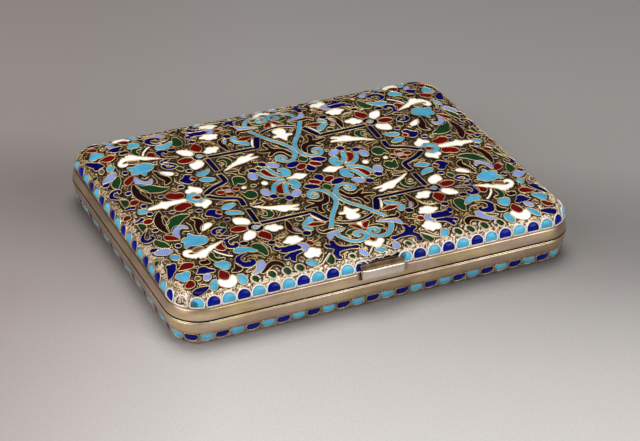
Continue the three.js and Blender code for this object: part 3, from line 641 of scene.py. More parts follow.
def mirrored(axis, *numbers):
    """A closed outline from the half of it that lies on one side of an axis."""
    half = at(*numbers)[::-1]
    image = half * axis
    return smooth_path(np.vstack([half[::-1], image[(image != half).any(1)]]), closed=True)


def band(points, widths):
    """An outline round a path whose width changes along it: one number, or a function of the share."""
    path = smooth_path(points)
    run = np.r_[0, np.cumsum(np.linalg.norm(np.diff(path, axis=0), axis=1))]
    share = run / run[-1]
    half = (widths(share) if callable(widths) else np.full(len(path), float(widths))) / 2
    along = unit(np.gradient(path, axis=0))
    side = np.c_[-along[:, 1], along[:, 0]] * half[:, None]
    return np.vstack([path + side, (path - side)[::-1]])


def leaf(points, width):
    return band(points, lambda s: LEAF_TIP + (width - LEAF_TIP) * np.sin(math.pi * s) ** 0.8)


def comma(points, width):
    """A leaf that is widest near its start."""
    return band(points, lambda s: LEAF_TIP + (width - LEAF_TIP) * np.sin(math.pi * (1 - s) ** 1.9) ** 0.7)


def curl(x, y, radius, core, start, turns):
    """Points of a spiral that winds in to its core. The start is an angle in degrees."""
    t = np.linspace(0, 1, max(6, int(abs(turns) * 9)))
    a = math.radians(start) + 2 * math.pi * turns * t
    r = radius + (core - radius) * t
    return np.c_[-x + r * np.cos(a), -y + r * np.sin(a)]


def ringed(x, y, width, height, turn=0):
    """A small green cell in a pale ring."""
    halo = band(oval(x, y, width + 1.05, height + 1.05, turn)[:-1], 0.22)
    return (CREAM, halo), (GREEN, oval(x, y, width + 0.1, height + 0.15, turn))


# Cells of one quarter, the front left one. The other three mirror it.
QUARTER = [
    # Round the middle
    (RED, oval(2.1, 4.6, 3.3, 2.1, -40)),
    (COBALT, blob(5.8, 6, 4.8, 5.1, 3.4, 5.3, 2.2, 6.1, 1.8, 7.4, 2.8, 7.7, 4.5, 7.4)),
    (TURQUOISE, blob(8.7, 1.7, 7.2, 1.4, 6.3, 2.6, 6.2, 4.2, 7.1, 5.5, 8.5, 5.6, 8.9, 4.7, 8.1, 3.8,
        8.7, 2.9)),
    (TURQUOISE, band(at(9.2, 0.9, 11.2, 1, 12.8, 2.1, 13.8, 3.8, 14.3, 5.5), 0.85)),
    (TURQUOISE, band(at(9.3, 2.4, 10.2, 3.2, 10.8, 5, 11.3, 7.3), 1.1)),
    (RED, blob(10.1, 2, 11.5, 2.3, 12.7, 3.5, 13.3, 5.2, 12.9, 6.3, 11.9, 6.6, 11.6, 5.2, 11.1, 3.6)),
    (LAVENDER, oval(16.2, 4.3, 2.2, 3.3, 8)),
    (COBALT, oval(15.1, 6.9, 2.1, 2.1)),
    (GREEN, oval(13.2, 7.6, 1.5, 1.6)),
    (LAVENDER, oval(9, 7.9, 3.4, 2.2, 45)),
    (COBALT, oval(11.5, 9.2, 2.0, 2.3)),
    (GREEN, blob(22.2, 1.5, 21.2, 2.4, 20.3, 1.8, 19.2, 2.1, 18.6, 3.5, 19, 5, 20.3, 5.7, 21.4, 5.1,
        21.9, 3.3)),
    (RED, oval(24.9, 1.2, 2.0, 1.7)),
    # Strapwork and its ring
    (NAVY, band(at(30.9, -0.1, 29.6, 1.1, 27.6, 2.5, 24.7, 3.8, 23.7, 4.6, 23.6, 6.2, 23.8, 8.1), 1.2)),
    (NAVY, band(at(23.6, 9.9, 23.6, 13, 23.7, 16.9), 1.15)),
    # Petals round the ring
    (WHITE, blob(28.7, 12.8, 26.6, 13.3, 25.3, 14.8, 25.8, 16.6, 27.4, 15.9, 28.9, 15.2)),
    (RED, oval(29, 17.6, 4.2, 2.4, -8)),
    # Round the open ring at the end of the strapwork
    (COBALT, oval(35.1, 5.6, 1.6, 1.3, -15)),
    (COBALT, blob(32.7, 6.4, 31, 7.2, 31.8, 8.6, 30.6, 10.1, 31.9, 10.8, 32.9, 9.6, 34.3, 8.4)),
    (RED, oval(30.7, 8.3, 1.4, 1.6)),
    (TURQUOISE, blob(29.5, 7.2, 28.3, 5.9, 26.4, 5.8, 25.6, 6.5, 26.7, 7.3, 28, 7.9)),
    (TURQUOISE, blob(29.3, 9.3, 27.9, 8.9, 26, 9.9, 25.3, 11.5, 26.8, 11, 28.6, 10.6)),
    (COBALT, oval(30.2, 12.4, 1.5, 1.4)),
    (GREEN, oval(32, 14.3, 1.6, 2.5, -10)),
    (COBALT, band(np.vstack([curl(34.2, 16.9, 1.8, 0.7, 20, 0.75)[::-1], at(35, 18.6, 33.9, 19.4,
        32.8, 20)]), 0.95)),
    # Large leaves and the pear
    (MAROON, leaf(at(44.3, 1.6, 45.6, 5, 45.9, 8.4, 45.6, 11.9), 2.5)),
    (MAROON, leaf(at(44.4, 4.2, 44, 5.2, 44.8, 8.5), 1.3)),
    (GREEN, leaf(at(38, 6.3, 40.6, 6.6, 43, 8.4, 44.9, 11.9), 3.2)),
    (COBALT, oval(41.3, 3.3, 1.4, 1.1)),
    (LAVENDER, leaf(at(40.5, 12.1, 41.5, 10.8, 43.2, 11, 44, 12.8, 43.9, 14.9), 1.7)),
    (RED, blob(46.8, 12.4, 45.8, 13, 44.6, 14.3, 44.1, 15.8, 45.2, 15.6, 46.9, 14.6, 47.2, 13.4)),
    (MAROON, leaf(at(38.2, 8.1, 36.9, 9.9, 37.6, 12.4, 38.7, 15.6), 1.9)),
    (WHITE, blob(36.6, 12.4, 34.9, 12, 34.4, 12.9, 35.5, 13.8, 37.3, 14.6, 37.6, 13.7)),
    (TURQUOISE, blob(41.3, 14.4, 40.2, 16, 38.6, 16.8, 37.7, 18.2, 38.6, 19.9, 40.6, 20.3, 42.6, 19.6,
        44, 20.1, 43.9, 18.6, 43.2, 18, 44, 17, 43.1, 15.9, 41.9, 16)),
    (COBALT, oval(45.4, 18.2, 1.3, 1.6)),
    # End of the lid
    (COBALT, oval(46.7, 1.4, 1.3, 1.6)),
    (COBALT, blob(51.2, 2.6, 50, 2.4, 49.2, 1.7, 48.7, 2.6, 49.9, 3.3, 51, 3.5)),
    (RED, oval(48.2, 4.2, 2.2, 2.2)),
    (GREEN, leaf(at(50.8, 3.6, 50.2, 5.6, 50.7, 7.8), 1.6)),
    (COBALT, oval(48, 8.9, 1.5, 1.5)),
    (COBALT, comma(at(50, 10.4, 49.8, 11.8, 51.4, 12.3, 52.2, 11, 51.6, 9.3, 49.6, 7), 1.1)),
    (GREEN, leaf(at(49.6, 12.8, 49.4, 14.6, 48.4, 16.6, 47.5, 17.9), 2.2)),
    (COBALT, blob(52.4, 16.6, 51.6, 15.8, 50.5, 16.5, 51, 17.4, 52.2, 17.4)),
    (LAVENDER, blob(51.9, 18.2, 50.6, 17.5, 49, 17.4, 48.2, 18.4, 47.5, 19.6, 48.9, 20.4, 50.6, 19.6)),
    (TURQUOISE, oval(48, 22.5, 1.8, 2.7, 15)),
    (GREEN, oval(52.9, 22.1, 1.2, 1.7, -20)),
]

# More cells of the front left quarter, placed where they lie on the lid
PLACED_QUARTER = [
    # Strapwork and its ring
    (NAVY, band(curl(25.2, 19.25, 1.4, 1.4, 10, 0.98), 1.05)),
    (TURQUOISE, oval(25.2, 19.25, 1.6, 1.5)),
    (NAVY, band(at(23.4, 18, 18, 17.98, 11, 17.95, 9.8, 18.05, 9.2, 18.7, 8.3, 20.9, 7.3, 23.3),
        lambda s: 0.95 + 0.25 * ((s - 0.62) / 0.08).clip(0, 1))),
    # Lyre and the leaves in it
    (TURQUOISE, band(at(4.5, 10.3, 4.9, 11.3, 5.7, 11.6, 6.4, 11.1, 6.5, 10.1, 5.9, 9, 4.8, 8.3, 3.3, 8.4,
        2.1, 9.5, 1.25, 10.9, 0.9, 12.7, 1.1, 14.8, 2.1, 17.1, 3.6, 19.2, 4.6, 20.6, 5.8, 22.6, 7, 25,
        8, 26.9), 0.8)),
    (TURQUOISE, oval(4.7, 10, 1.1, 0.9)),
    (MAROON, blob(2.55, 10.6, 2.1, 12.1, 2.6, 13.5, 3.4, 14.9, 4.4, 15.5, 5.3, 15.6, 6, 16.6, 6.3, 17.8,
        6.3, 19, 6.9, 19.2, 7.3, 18.4, 7.1, 17.2, 6.7, 16.2, 8, 15.9, 10, 16.1, 9.5, 15.2, 7.9, 14.7,
        6.7, 14.5, 7.4, 13.6, 8.1, 12.6, 7.3, 12.7, 6, 13.7, 4.6, 13.9, 3.5, 13, 3, 11.6)),
    # Between the strapwork and the lyre
    (WHITE, blob(21.8, 9.8, 20.9, 9.9, 19.5, 10.8, 18, 11.4, 16.2, 11.8, 14.8, 12.1, 13.3, 12.7,
        11.5, 13.1, 10.7, 13.4, 11.4, 13.8, 12.6, 13.8, 13, 14.2, 12, 14.7, 11.5, 15.1, 12.2, 15.6,
        13.2, 15.2, 14.2, 14.8, 15.1, 15.1, 16.2, 14.5, 17, 13.5, 18.5, 12.5, 19.8, 11.5, 20.9, 10.6)),
    (MAROON, leaf(at(22, 9.1, 20, 9.35, 18.3, 8.8), 0.8)),
    (GREEN, leaf(at(20.3, 11.9, 19.2, 13, 19.1, 14.6, 20.1, 15.8, 21.7, 15.2), 1.15)),
    (GREEN, oval(13.5, 19.8, 1.6, 1.5)),
    (TURQUOISE, blob(11.1, 20.1, 10.6, 20.6, 10.8, 22, 11.6, 22.5, 12.7, 23, 13.8, 23.4, 14, 22.8,
        13.2, 22, 12.3, 21.1)),
    (TURQUOISE, blob(14.2, 23.8, 13.4, 23.9, 12.7, 24.6, 12.4, 25.3, 12.9, 26, 13.7, 25.3, 14.3, 24.6)),
    (RED, blob(12.9, 23.4, 12, 22.9, 10.6, 22.9, 9.3, 23.5, 8.5, 24.2, 9.8, 24.4, 11.2, 24.4, 12.1, 24)),
    (CREAM, leaf(at(10.2, 18.7, 9.9, 20.2, 9.1, 22.2, 8.7, 23.3), 0.7)),
    (MAROON, leaf(at(16.9, 19.3, 17.25, 21.5, 17.4, 23.6, 17, 25, 15.6, 26), 1.3)),
    (LAVENDER, leaf(at(16.6, 23.2, 16.3, 24.4, 15.6, 25.3), 0.8)),
    (NAVY, oval(24.3, 27.35, 1.6, 1.4)),
    (NAVY, oval(14.6, 26.7, 1.8, 1.8)),
    # Petals round the ring
    (WHITE, blob(27.9, 20.6, 27.2, 20.1, 26.4, 20.4, 26.15, 21.2, 26.4, 22.2, 27.2, 23.4, 28, 23.8,
        29.2, 24.1, 30, 23.8, 30, 23, 29.5, 22, 28.9, 21.1)),
    (RED, blob(24.5, 21.6, 23.7, 22.4, 23.2, 23.4, 23.4, 24.5, 23.9, 25.7, 24.4, 25.8, 25, 24.9,
        25.9, 23.9, 26, 23, 25.4, 22.2)),
    (WHITE, blob(23.4, 20.4, 22.7, 19.9, 22, 19.7, 21.35, 19.95, 20.6, 19.7, 20, 20.2, 19.9, 20.8,
        19.2, 21.1, 18.9, 21.9, 19.5, 22.5, 20.3, 22.4, 20.9, 22.8, 21.7, 22.8, 22.3, 22.3, 22.6, 21.6,
        23.2, 21.2)),
    (WHITE, blob(35, 2.9, 34, 2.5, 33.1, 2.9, 32.2, 1.7, 31.2, 1.8, 30.6, 2.9, 30.9, 4, 31.9, 4.6,
        32.7, 5.4, 33.3, 5.5, 33.7, 4.4, 34.6, 4)),
    (RED, blob(40, 3.9, 40.2, 2.7, 39.6, 1.8, 38.4, 1.2, 37.2, 1, 36.4, 1.3, 35.9, 2.4, 36.3, 3.4,
        37.5, 3.6, 38.7, 4.3)),
    (COBALT, comma(at(33.3, 24, 32.7, 24.3, 32.9, 25.1, 33.8, 25.4, 34.7, 24.8, 35, 23.6, 34.6, 22.4,
        33.6, 21.6, 32.3, 21.3, 30.7, 20.9), 1.3)),
    (NAVY, oval(30.8, 25.1, 1.8, 1.5)),
    # Large leaf with a scrolled end
    (WHITE, blob(35.4, 21.9, 36.6, 22.2, 37.9, 22.5, 39, 22.7, 39.9, 23.5, 41.1, 23.8, 42.2, 24.25,
        43.4, 24.5, 44.3, 24.3, 44.85, 23.9, 44.8, 23.3, 44.3, 23.05, 43.85, 23.25, 43.7, 22.7,
        44.2, 22.1, 44.9, 21.9, 45.6, 22.2, 46, 22.9, 46, 23.8, 45.6, 24.7, 44.9, 25.4, 44.6, 25.9,
        44.15, 25.8, 44, 26.4, 43.5, 26, 43.1, 26.3, 42.9, 27, 42.4, 26.6, 41.8, 27.2, 41.5, 26.6,
        41, 26.5, 40.8, 25.8, 40.3, 25.6, 40.1, 25, 39.4, 24.8, 38.8, 24.2, 38.2, 24, 37.7, 23.4,
        36.6, 22.8)),
    (CREAM, band(at(38.8, 24.9, 38.3, 26.2, 37.6, 27.2, 36.5, 28.4, 35.4, 29.2), 0.6)),
    (TAUPE, blob(43.4, 22.5, 41.9, 21.9, 40.7, 22.4, 40.9, 23.2, 42.2, 23.7, 43.3, 23.9)),
    (RED, blob(35.4, 22.5, 35.2, 23, 35.6, 23.7, 35.55, 24.5, 35.9, 25.4, 36.6, 25.8, 37.2, 25.4,
        37.7, 24.8, 37.8, 24.25, 37.2, 23.7, 36.6, 23.3, 36.05, 22.8)),
    (RED, blob(49.5, 28.7, 48.6, 28, 48.1, 27.3, 47.2, 26.9, 46.2, 27.3, 45.5, 28, 45.6, 28.7, 46.3, 29.4,
        47.4, 29.4, 48.4, 29.1)),
    (COBALT, blob(51.5, 25.6, 50.9, 25.3, 50.4, 25.6, 49.5, 25.5, 49.4, 26.3, 49.8, 27.4, 50.3, 28.4,
        51.05, 29.2, 51.8, 30.2, 52.7, 30.7, 52.5, 29.8, 52.2, 28.8, 51.9, 27.8, 51.4, 26.7)),
    (TAUPE, oval(50.5, 23.8, 1.2, 2.3, 8)),
    (MAROON, blob(43.8, 28.6, 43.1, 28, 42.3, 28.3, 41.7, 27.9, 41.6, 28.8, 41.9, 29.7, 42.8, 29.6,
        43.4, 29.5)),
    (GREEN, blob(39.9, 25.6, 39.5, 26.3, 39.75, 27.2, 39.7, 28, 39.25, 28.7, 38.4, 29, 37.7, 29.2,
        38, 29.75, 38.8, 29.9, 39.6, 29.8, 40.2, 29.2, 40.6, 28.3, 40.8, 27.2, 40.4, 26.2)),
    # Front left corner
    (TURQUOISE, blob(51.05, 31.2, 50.8, 30.5, 49.9, 30.2, 49.3, 30.5, 48.4, 30.2, 47.6, 30.6, 47.7, 31.6,
        48.4, 32.7, 48.8, 33.6, 49.5, 33.9, 50.1, 33.4, 50.6, 32.4)),
    (RED, blob(48.8, 34.1, 48.3, 34.4, 48.1, 34.9, 48.2, 35.8, 48.7, 36.5, 49.7, 36.7, 50.3, 36.2,
        50.2, 35.5, 49.5, 34.8)),
    (COBALT, blob(46.1, 32.3, 45.5, 31.9, 45.1, 31.05, 44.6, 30.5, 43.8, 30.5, 43.3, 30.9, 43, 31.6,
        42.3, 32.2, 41.75, 32.9, 42.3, 33.3, 43.1, 33.1, 43.8, 33.3, 44.5, 33.1, 45.2, 32.7)),
    (LAVENDER, blob(44.3, 33.5, 43.6, 33.7, 43.5, 34.5, 43.8, 35.3, 44.7, 35.8, 45.3, 35.4, 45.1, 34.5)),
    (TAUPE, oval(46.6, 34.2, 1.4, 1.6)),
    (TURQUOISE, blob(40.8, 30.7, 40, 30.2, 39.4, 30.5, 38.7, 30.1, 38.2, 30.7, 37.6, 31.2, 37.4, 32.1,
        37.9, 33, 38.7, 33.55, 39.5, 33.3, 40.1, 32.4, 40.6, 31.6)),
    (MAROON, blob(36.2, 32.3, 35.7, 33, 35.3, 34, 35.5, 34.9, 36.3, 35.3, 37.2, 35.3, 38, 34.9,
        37.2, 34.3, 36.6, 33.7)),
    (RED, blob(40.5, 33.6, 39.7, 34.3, 39.2, 35.1, 39.4, 36.1, 39.9, 36.9, 40.8, 36.9, 41.5, 36.3,
        41.55, 35.5, 41.2, 34.7)),
    (WHITE, blob(42.6, 36.9, 41.9, 36.5, 41.5, 36.95, 40.8, 37.3, 39.8, 37.2, 39, 36.3, 38.3, 36.2,
        37.95, 36.9, 38.1, 38, 38.8, 39.1, 39.9, 39.7, 41.2, 39.6, 42.1, 39, 42.6, 38)),
    (TURQUOISE, blob(37.4, 36.5, 36.3, 36.6, 35.8, 37.3, 35.6, 38.4, 35.9, 39.3, 36.7, 39.7, 37.5, 39.3,
        37.7, 38.4, 37.4, 37.6)),
    (TURQUOISE, blob(43.5, 36.3, 42.75, 36.5, 43, 37.5, 43.4, 38.6, 44.1, 39.4, 44.9, 39.4, 45.1, 38.6,
        44.7, 37.6, 44.1, 36.8)),
    (COBALT, blob(49.7, 38.7, 48.8, 37.95, 47.4, 37.7, 46.05, 37.8, 45.4, 38, 46.2, 38.8, 47.3, 39.5,
        48.7, 39.7, 49.5, 39.25)),
    # Along the front
    (TURQUOISE, blob(34.4, 27.6, 34.1, 26.9, 33.3, 26.4, 32.2, 26.5, 31.05, 27, 30.2, 27.7, 29.5, 28.7,
        29.1, 29.4, 29.8, 29.5, 30.8, 29, 31.75, 28.6, 33, 28.7, 33.8, 28.4)),
    (GREEN, blob(29.6, 27.4, 29.4, 26.75, 28.6, 26.3, 27.6, 26.6, 26.95, 27.6, 26.8, 29.1, 26.95, 30.5,
        27.3, 31.6, 27.9, 31.9, 28.1, 31.05, 28.6, 30.2, 28.9, 29.1, 29.3, 28.3)),
    (COBALT, comma(at(32.5, 32.1, 31.8, 32.7, 32.3, 33.5, 33.6, 33.75, 34.7, 33, 35, 31.6, 34.5, 30.4,
        33.4, 29.7, 32.1, 29.3), 1.75)),
    (TAUPE, leaf(at(34.8, 36.1, 33, 35.7, 31.7, 34.7), 1.0)),
    (LAVENDER, blob(30.9, 33.8, 30.2, 33.5, 29.5, 34, 29.4, 34.9, 29.9, 35.8, 30.9, 36.6, 31.8, 37.1,
        32.7, 37.3, 33.8, 37.2, 32.7, 36.7, 32, 36.1, 31.5, 35.2, 31.2, 34.4)),
    (MAROON, blob(31.4, 37.6, 30.7, 37, 29.8, 36.3, 29, 35.4, 28, 34.8, 26.9, 34.7, 25.9, 35.2, 25.3, 36,
        25.2, 37.1, 25.7, 37.3, 26.2, 36.5, 27, 35.95, 28, 36, 29, 36.6, 30, 37.2, 30.8, 37.7)),
    *ringed(33.5, 38.9, 1.4, 1.7),
    *ringed(29.1, 38.7, 1.5, 1.9),
    *ringed(25.15, 38.75, 1.45, 1.9, -8),
    *ringed(21.7, 38.7, 1.5, 1.8),
    *ringed(7.7, 38.8, 1.0, 1.1),
    (GREEN, blob(12.55, 36.8, 12.3, 37.6, 12.6, 38.6, 13.1, 39.5, 13.8, 39.7, 14.35, 39.2, 14.3, 38.5,
        13.7, 37.9, 13.1, 37.3)),
    (WHITE, blob(19.2, 26.5, 18.4, 26.8, 17.6, 26.7, 17.2, 27.3, 17.1, 27.9, 16.5, 28.3, 16.5, 29,
        17.2, 29.2, 17.85, 29.6, 18.6, 29.7, 19.5, 30.05, 20.1, 29.7, 20.5, 29.2, 21.2, 29, 21.7, 28.3,
        21, 27.9, 20.5, 27.6, 20.1, 26.9)),
    (LAVENDER, blob(18.6, 30.35, 17.85, 30.2, 17.1, 30.5, 16.6, 31.4, 16.6, 32.3, 17, 32.8, 17.8, 33.5,
        18.4, 33.3, 18.4, 32.7, 17.9, 32.1, 17.9, 31.5, 18.3, 30.9)),
    (RED, oval(15.65, 31, 1.4, 1.8, 20)),
    (WHITE, blob(18.9, 34.9, 18.3, 34.1, 17.7, 34.1, 17.3, 33.4, 16.5, 32.8, 15.6, 33.1, 15.2, 33.7,
        14.3, 34, 14.6, 34.9, 14.8, 35.65, 15.4, 36, 15.9, 36.6, 16.8, 36.2, 17.7, 36.4, 18.5, 36)),
    (COBALT, blob(24.6, 29.5, 24.2, 29.3, 23.7, 30.2, 22.7, 30.3, 21.9, 30.5, 21, 30.2, 20.2, 30.35,
        19.2, 30.2, 18.7, 31, 18.5, 31.8, 19, 32.4, 20, 32.3, 20.9, 32.6, 22.1, 32.5, 23.1, 32.5,
        24, 31.8, 23.4, 31.3, 24.2, 31, 24.8, 30.4)),
    (COBALT, blob(24, 34.3, 23.3, 33.9, 22.6, 33.6, 21.8, 33.1, 20.35, 33, 18.9, 32.9, 18.7, 33.4,
        19.4, 33.7, 20.35, 34, 21.1, 34.5, 21.4, 35.05, 21.7, 35.7, 22, 36.3, 22.6, 35.8, 22.6, 35,
        22.7, 34.6, 23.3, 35, 23.9, 34.9)),
    (TAUPE, leaf(at(23.6, 27.9, 23, 28.9, 22.3, 29.7), 1.1)),
    (TURQUOISE, blob(19.3, 37.1, 18.4, 36.8, 17.7, 37.3, 17.3, 38.1, 16.9, 38.8, 17.85, 39.1, 18.6, 38.9,
        19.1, 38.3, 19.5, 37.7)),
    (CREAM, band(at(18.6, 39.7, 17, 39.4, 15.4, 38.5, 13.9, 37.2, 12.6, 36.1), 0.32)),
    (MAROON, leaf(at(11.5, 26.3, 11.1, 27.4, 10.35, 28, 9.2, 27.75, 8, 27.85, 6.1, 27.8), 0.95)),
    (LAVENDER, blob(4.9, 28.2, 5.9, 28.3, 7.4, 28.35, 8.9, 28.7, 9.9, 29.3, 10.4, 29.9, 10.35, 30.6,
        10.5, 31.3, 9.8, 31.2, 9.2, 30.5, 8.3, 29.8, 7.1, 29.3, 6, 28.9)),
    (TURQUOISE, band(at(7.7, 29.9, 7.7, 30.8, 7.1, 31.9, 6.4, 32.9, 5.5, 33.8, 4.3, 34.3, 3, 34.3,
        1.8, 33.8, 1.1, 33, 1, 32, 1.5, 31.1, 2.4, 30.7, 3.3, 30.95, 3.6, 31.7, 3.2, 32.3, 2.4, 32.2),
        0.82)),
    (GREEN, blob(5.5, 30.9, 5, 30, 3.9, 29.5, 2.7, 29.5, 1.9, 30, 2.8, 30.1, 3.7, 30.4, 4.2, 31,
        5, 31.3)),
    (RED, blob(3.2, 27.4, 2.1, 27.5, 1.4, 28.15, 0.9, 29.2, 1.1, 30, 1.8, 29.4, 2.4, 28.5)),
    (COBALT, blob(12.6, 33.3, 12.1, 33, 11.5, 33.7, 10.95, 33.4, 10.95, 32.4, 10.35, 32, 9.9, 32.4,
        10.05, 33.3, 9.8, 34.2, 8.9, 35.05, 7.7, 35.35, 6.5, 35.6, 5.2, 35.6, 4.8, 36.2, 5.5, 36.6,
        6.8, 36.2, 8, 36.2, 9.2, 36.2, 10, 36.4, 10.65, 36.9, 10.85, 37.6, 10.5, 38.2, 10.65, 38.7,
        11.3, 38.7, 11.9, 38, 12, 37, 11.5, 36.2, 10.9, 35.6, 11.4, 34.8, 12, 34.5, 12.6, 34)),
    (LAVENDER, blob(5.35, 38, 4.9, 37.3, 4.4, 37.4, 4, 38.15, 3.6, 38.9, 3.5, 39.5, 4.5, 39.5, 5.2, 39)),
    (CREAM, band(at(3.1, 39, 2.2, 37.9, 1.4, 37.2), 0.3)),
]

# Cells on the long axis: the right half mirrors the left one
ON_LONG_AXIS = [
    (WHITE, mirrored(LONG, 8.3, 0, 6.3, -0.7, 4.9, -1.6, 3.2, -0.8, 2.3, 0)),
    (WHITE, oval(14.6, 0, 1.7, 1.9)),
    (GREEN, oval(17.8, 0, 1.5, 1.2)),
    (WHITE, oval(20.5, 0, 1.3, 1.2)),
    (LAVENDER, oval(24.8, 0, 1.6, 1.5)),
    (RED, oval(27, 0, 2.2, 1.9)),
    (RED, oval(22.7, 0, 1.8, 1.8)),
    (TURQUOISE, band(curl(33.7, 0, 1.95, 1.95, 38, 0.79), 1.3)),
    (RED, oval(33.5, 0, 1.9, 1.8)),
    (WHITE, mirrored(LONG, 46.6, -0.4, 45, -0.7, 43.4, -1, 42.6, -1.7, 41.5, -1.1, 39.4, -0.9,
        36.6, -0.5)),
    (TURQUOISE, mirrored(LONG, 49.2, -0.6, 48, -1.1, 47, -0.5)),
    (RED, oval(52.2, 0, 1.9, 2.2)),
]

# Cells on the short axis: the back half mirrors the front one
ON_SHORT_AXIS = [
    (COBALT, mirrored(SHORT, 0, 0.9, -0.95, 1.5, -1.3, 2.5, -0.7, 3.8, 0, 4.7)),
    (GREEN, mirrored(SHORT, 0, 6.4, -0.9, 7, -1.2, 8, -0.7, 9.1, 0, 9.7)),
    (WHITE, mirrored(SHORT, 0, 18.7, -0.6, 19.8, -1.4, 20.9, -2.8, 21.1, -2.5, 21.9, -1.3, 22.3,
        -1.8, 23.5, -1.7, 24.6, -0.9, 25.2, 0, 25.3)),
    (NAVY, band(at(5.2, 24.5, 4.1, 25.2, 2.3, 25.95, 0, 26.3, -2.3, 25.95, -4.1, 25.2, -5.2, 24.5), 1.0)),
    (WHITE, blob(0.65, 27.1, -0.65, 27.1, -0.3, 28.4, 0, 29.8, 0.3, 28.4)),
    (RED, oval(0, 34.8, 1.4, 1.7)),
    (WHITE, mirrored(SHORT, 0, 35.85, -0.8, 35.6, -1.2, 35, -2.1, 35.1, -2.6, 35.7, -2.2, 36.4,
        -1.5, 36.9, -0.8, 37.6, 0, 37.85)),
    (TURQUOISE, blob(1.3, 38.3, 0, 38.2, -1.3, 38.3, -1.2, 39.2, 0, 39.8, 1.2, 39.2)),
    (GREEN, oval(0, 16.5, 1.1, 2.6)),
]

# Bare gilt wires in the ground
CURLS = [
    at(17.8, 5.5, 17.2, 7, 15.9, 8.2),
    at(26.2, 25.1, 23.4, 25.5, 20.8, 25, 18.7, 23.4, 17.9, 20.9),
    at(16.2, 30.6, 13.8, 29.8, 11.6, 28.7),
    at(46.9, 19.8, 46.6, 21.6, 46.7, 23.4, 46.2, 24.6),
    at(31.9, 29.4, 30.2, 29.3, 28.6, 30.2, 27.8, 31.6),
    at(31.2, 31.2, 29.6, 31.8, 28.4, 32.3),
    at(50.9, 29.3, 52.2, 30.8, 52.6, 33, 52.1, 35, 50.9, 36, 49.7, 36.4),
    curl(9.5, 4.4, 0.9, 0.3, 90, -1.2),
    curl(12.6, 11.2, 1.0, 0.3, 180, 1.2),
    curl(7.6, 9.6, 0.9, 0.3, 0, -1.2),
    at(18, 5.9, 18.9, 6.9, 18.4, 8),
    at(19.6, 6.4, 20.6, 7.6, 22.3, 8),
    curl(21, 12.9, 1.0, 0.3, 100, 1.1),
    at(16.4, 14.6, 17.2, 15.6, 18.1, 16.6),
    at(13.2, 15.8, 14.6, 16.5, 16, 16.3),
    at(9, 16.3, 8, 16.9, 8.2, 18.6, 8.9, 17.3),
    at(3.4, 15.8, 4.6, 17.6, 4.3, 19.4),
    curl(14.9, 21.4, 0.9, 0.3, 0, 1.1),
    at(10.3, 18.9, 9.6, 20.6, 8.3, 22.3),
    curl(20.4, 24.2, 1.2, 0.35, 60, -1.2),
    at(22.4, 24.5, 20.8, 25.4, 18.9, 24.4, 18.3, 22.6),
    at(26.2, 25, 24.9, 27.6, 25.3, 30.4),
    curl(28.8, 4.6, 0.9, 0.3, -40, 1.2),
    at(24.9, 5.2, 25.9, 4.3, 28, 3.9),
    curl(37, 5.2, 1.0, 0.3, 0, 1.2),
    at(34.4, 6.9, 35.4, 8.4, 35, 10.2),
    curl(34, 12, 0.9, 0.3, 200, 1.1),
    at(39.9, 9.4, 39.4, 11.4, 39.7, 13.8),
    at(42.6, 13.8, 41.9, 12.9, 40.6, 13.6),
    curl(47.4, 6.7, 0.8, 0.25, 80, -1.1),
    curl(52.6, 5.8, 0.8, 0.25, 0, 1.1),
    curl(52.9, 14, 0.9, 0.3, 90, 1.2),
    at(48.2, 11.3, 47.7, 12.4, 48.2, 13.6),
    at(46.6, 16.6, 46.9, 18.6, 46.2, 20.6),
    curl(36.8, 19.4, 0.9, 0.3, 180, -1.1),
    at(50.4, 21.4, 51.2, 23, 50, 24.6),
    curl(42.2, 21.9, 0.8, 0.25, 0, 1.1),
    at(37.9, 24.3, 37, 26.2, 35, 28.6),
    curl(47.6, 24.9, 0.9, 0.3, 120, -1.2),
    curl(44.7, 29, 0.8, 0.25, 200, -1.1),
    curl(49.4, 33.2, 3.2, 3.0, 75, 0.62),
    at(46.4, 33.6, 46.9, 35.6, 45.4, 36.6),
    at(36.6, 29.4, 37, 30.8, 36, 33),
    curl(29.9, 30.4, 1.1, 0.3, 0, 1.2),
    at(34.6, 34.4, 32.8, 34.6, 31.6, 33.9),
    curl(26.6, 32.9, 0.9, 0.3, 100, -1.2),
    curl(14, 28.3, 0.9, 0.3, 100, 1.2),
    curl(13.2, 30.9, 0.9, 0.3, -60, -1.2),
    at(14.3, 32.4, 13.7, 34.6, 14.6, 36.6, 16.4, 38.4),
    curl(5, 31.6, 0.9, 0.3, 30, 1.2),
    at(8.8, 31.9, 8.4, 33.1, 7.4, 33.9),
    curl(8.6, 37.4, 0.7, 0.25, 0, 1.1),
    at(3.2, 35, 3.9, 36.4, 2.6, 37.8),
    at(6.6, 24.6, 4.9, 26, 4.2, 27.3),
    curl(3.4, 22.6, 0.8, 0.25, 180, 1.1),
]

# The quarter is drawn as the camera shows it on a rounder dome, and moved to its own place
DRAWN_CROWN = 1.9
LEAN = (0.711, 1.513)  # how far a point seems to move in plan for each millimetre that it rises


def added_rise(x, y):
    across, along = field_shares(x, y)
    return crown_at(x, y).clip(0) - DRAWN_CROWN * ((1 - across ** 2) * (1 - along ** 2)).clip(0)


def straightened(plan):
    """Plan points of the drawn quarter at their own places. Those on its two axes stay there."""
    x, y = plan[:, 0], plan[:, 1]
    share, along = field_shares(x, y)
    fade = (1 - along ** 2).clip(0, 1)
    bow = -0.3 + 1.1 * share ** 2 / (share ** 2 + 0.2)
    rise = added_rise(x, y)
    near = np.exp(-(x / 5) ** 2)
    return np.c_[x - LEAN[0] * (rise - near * added_rise(0 * x, y)),
                 y - LEAN[1] * rise + fade * (LEAN[1] * added_rise(x, 0 * y) - bow)]


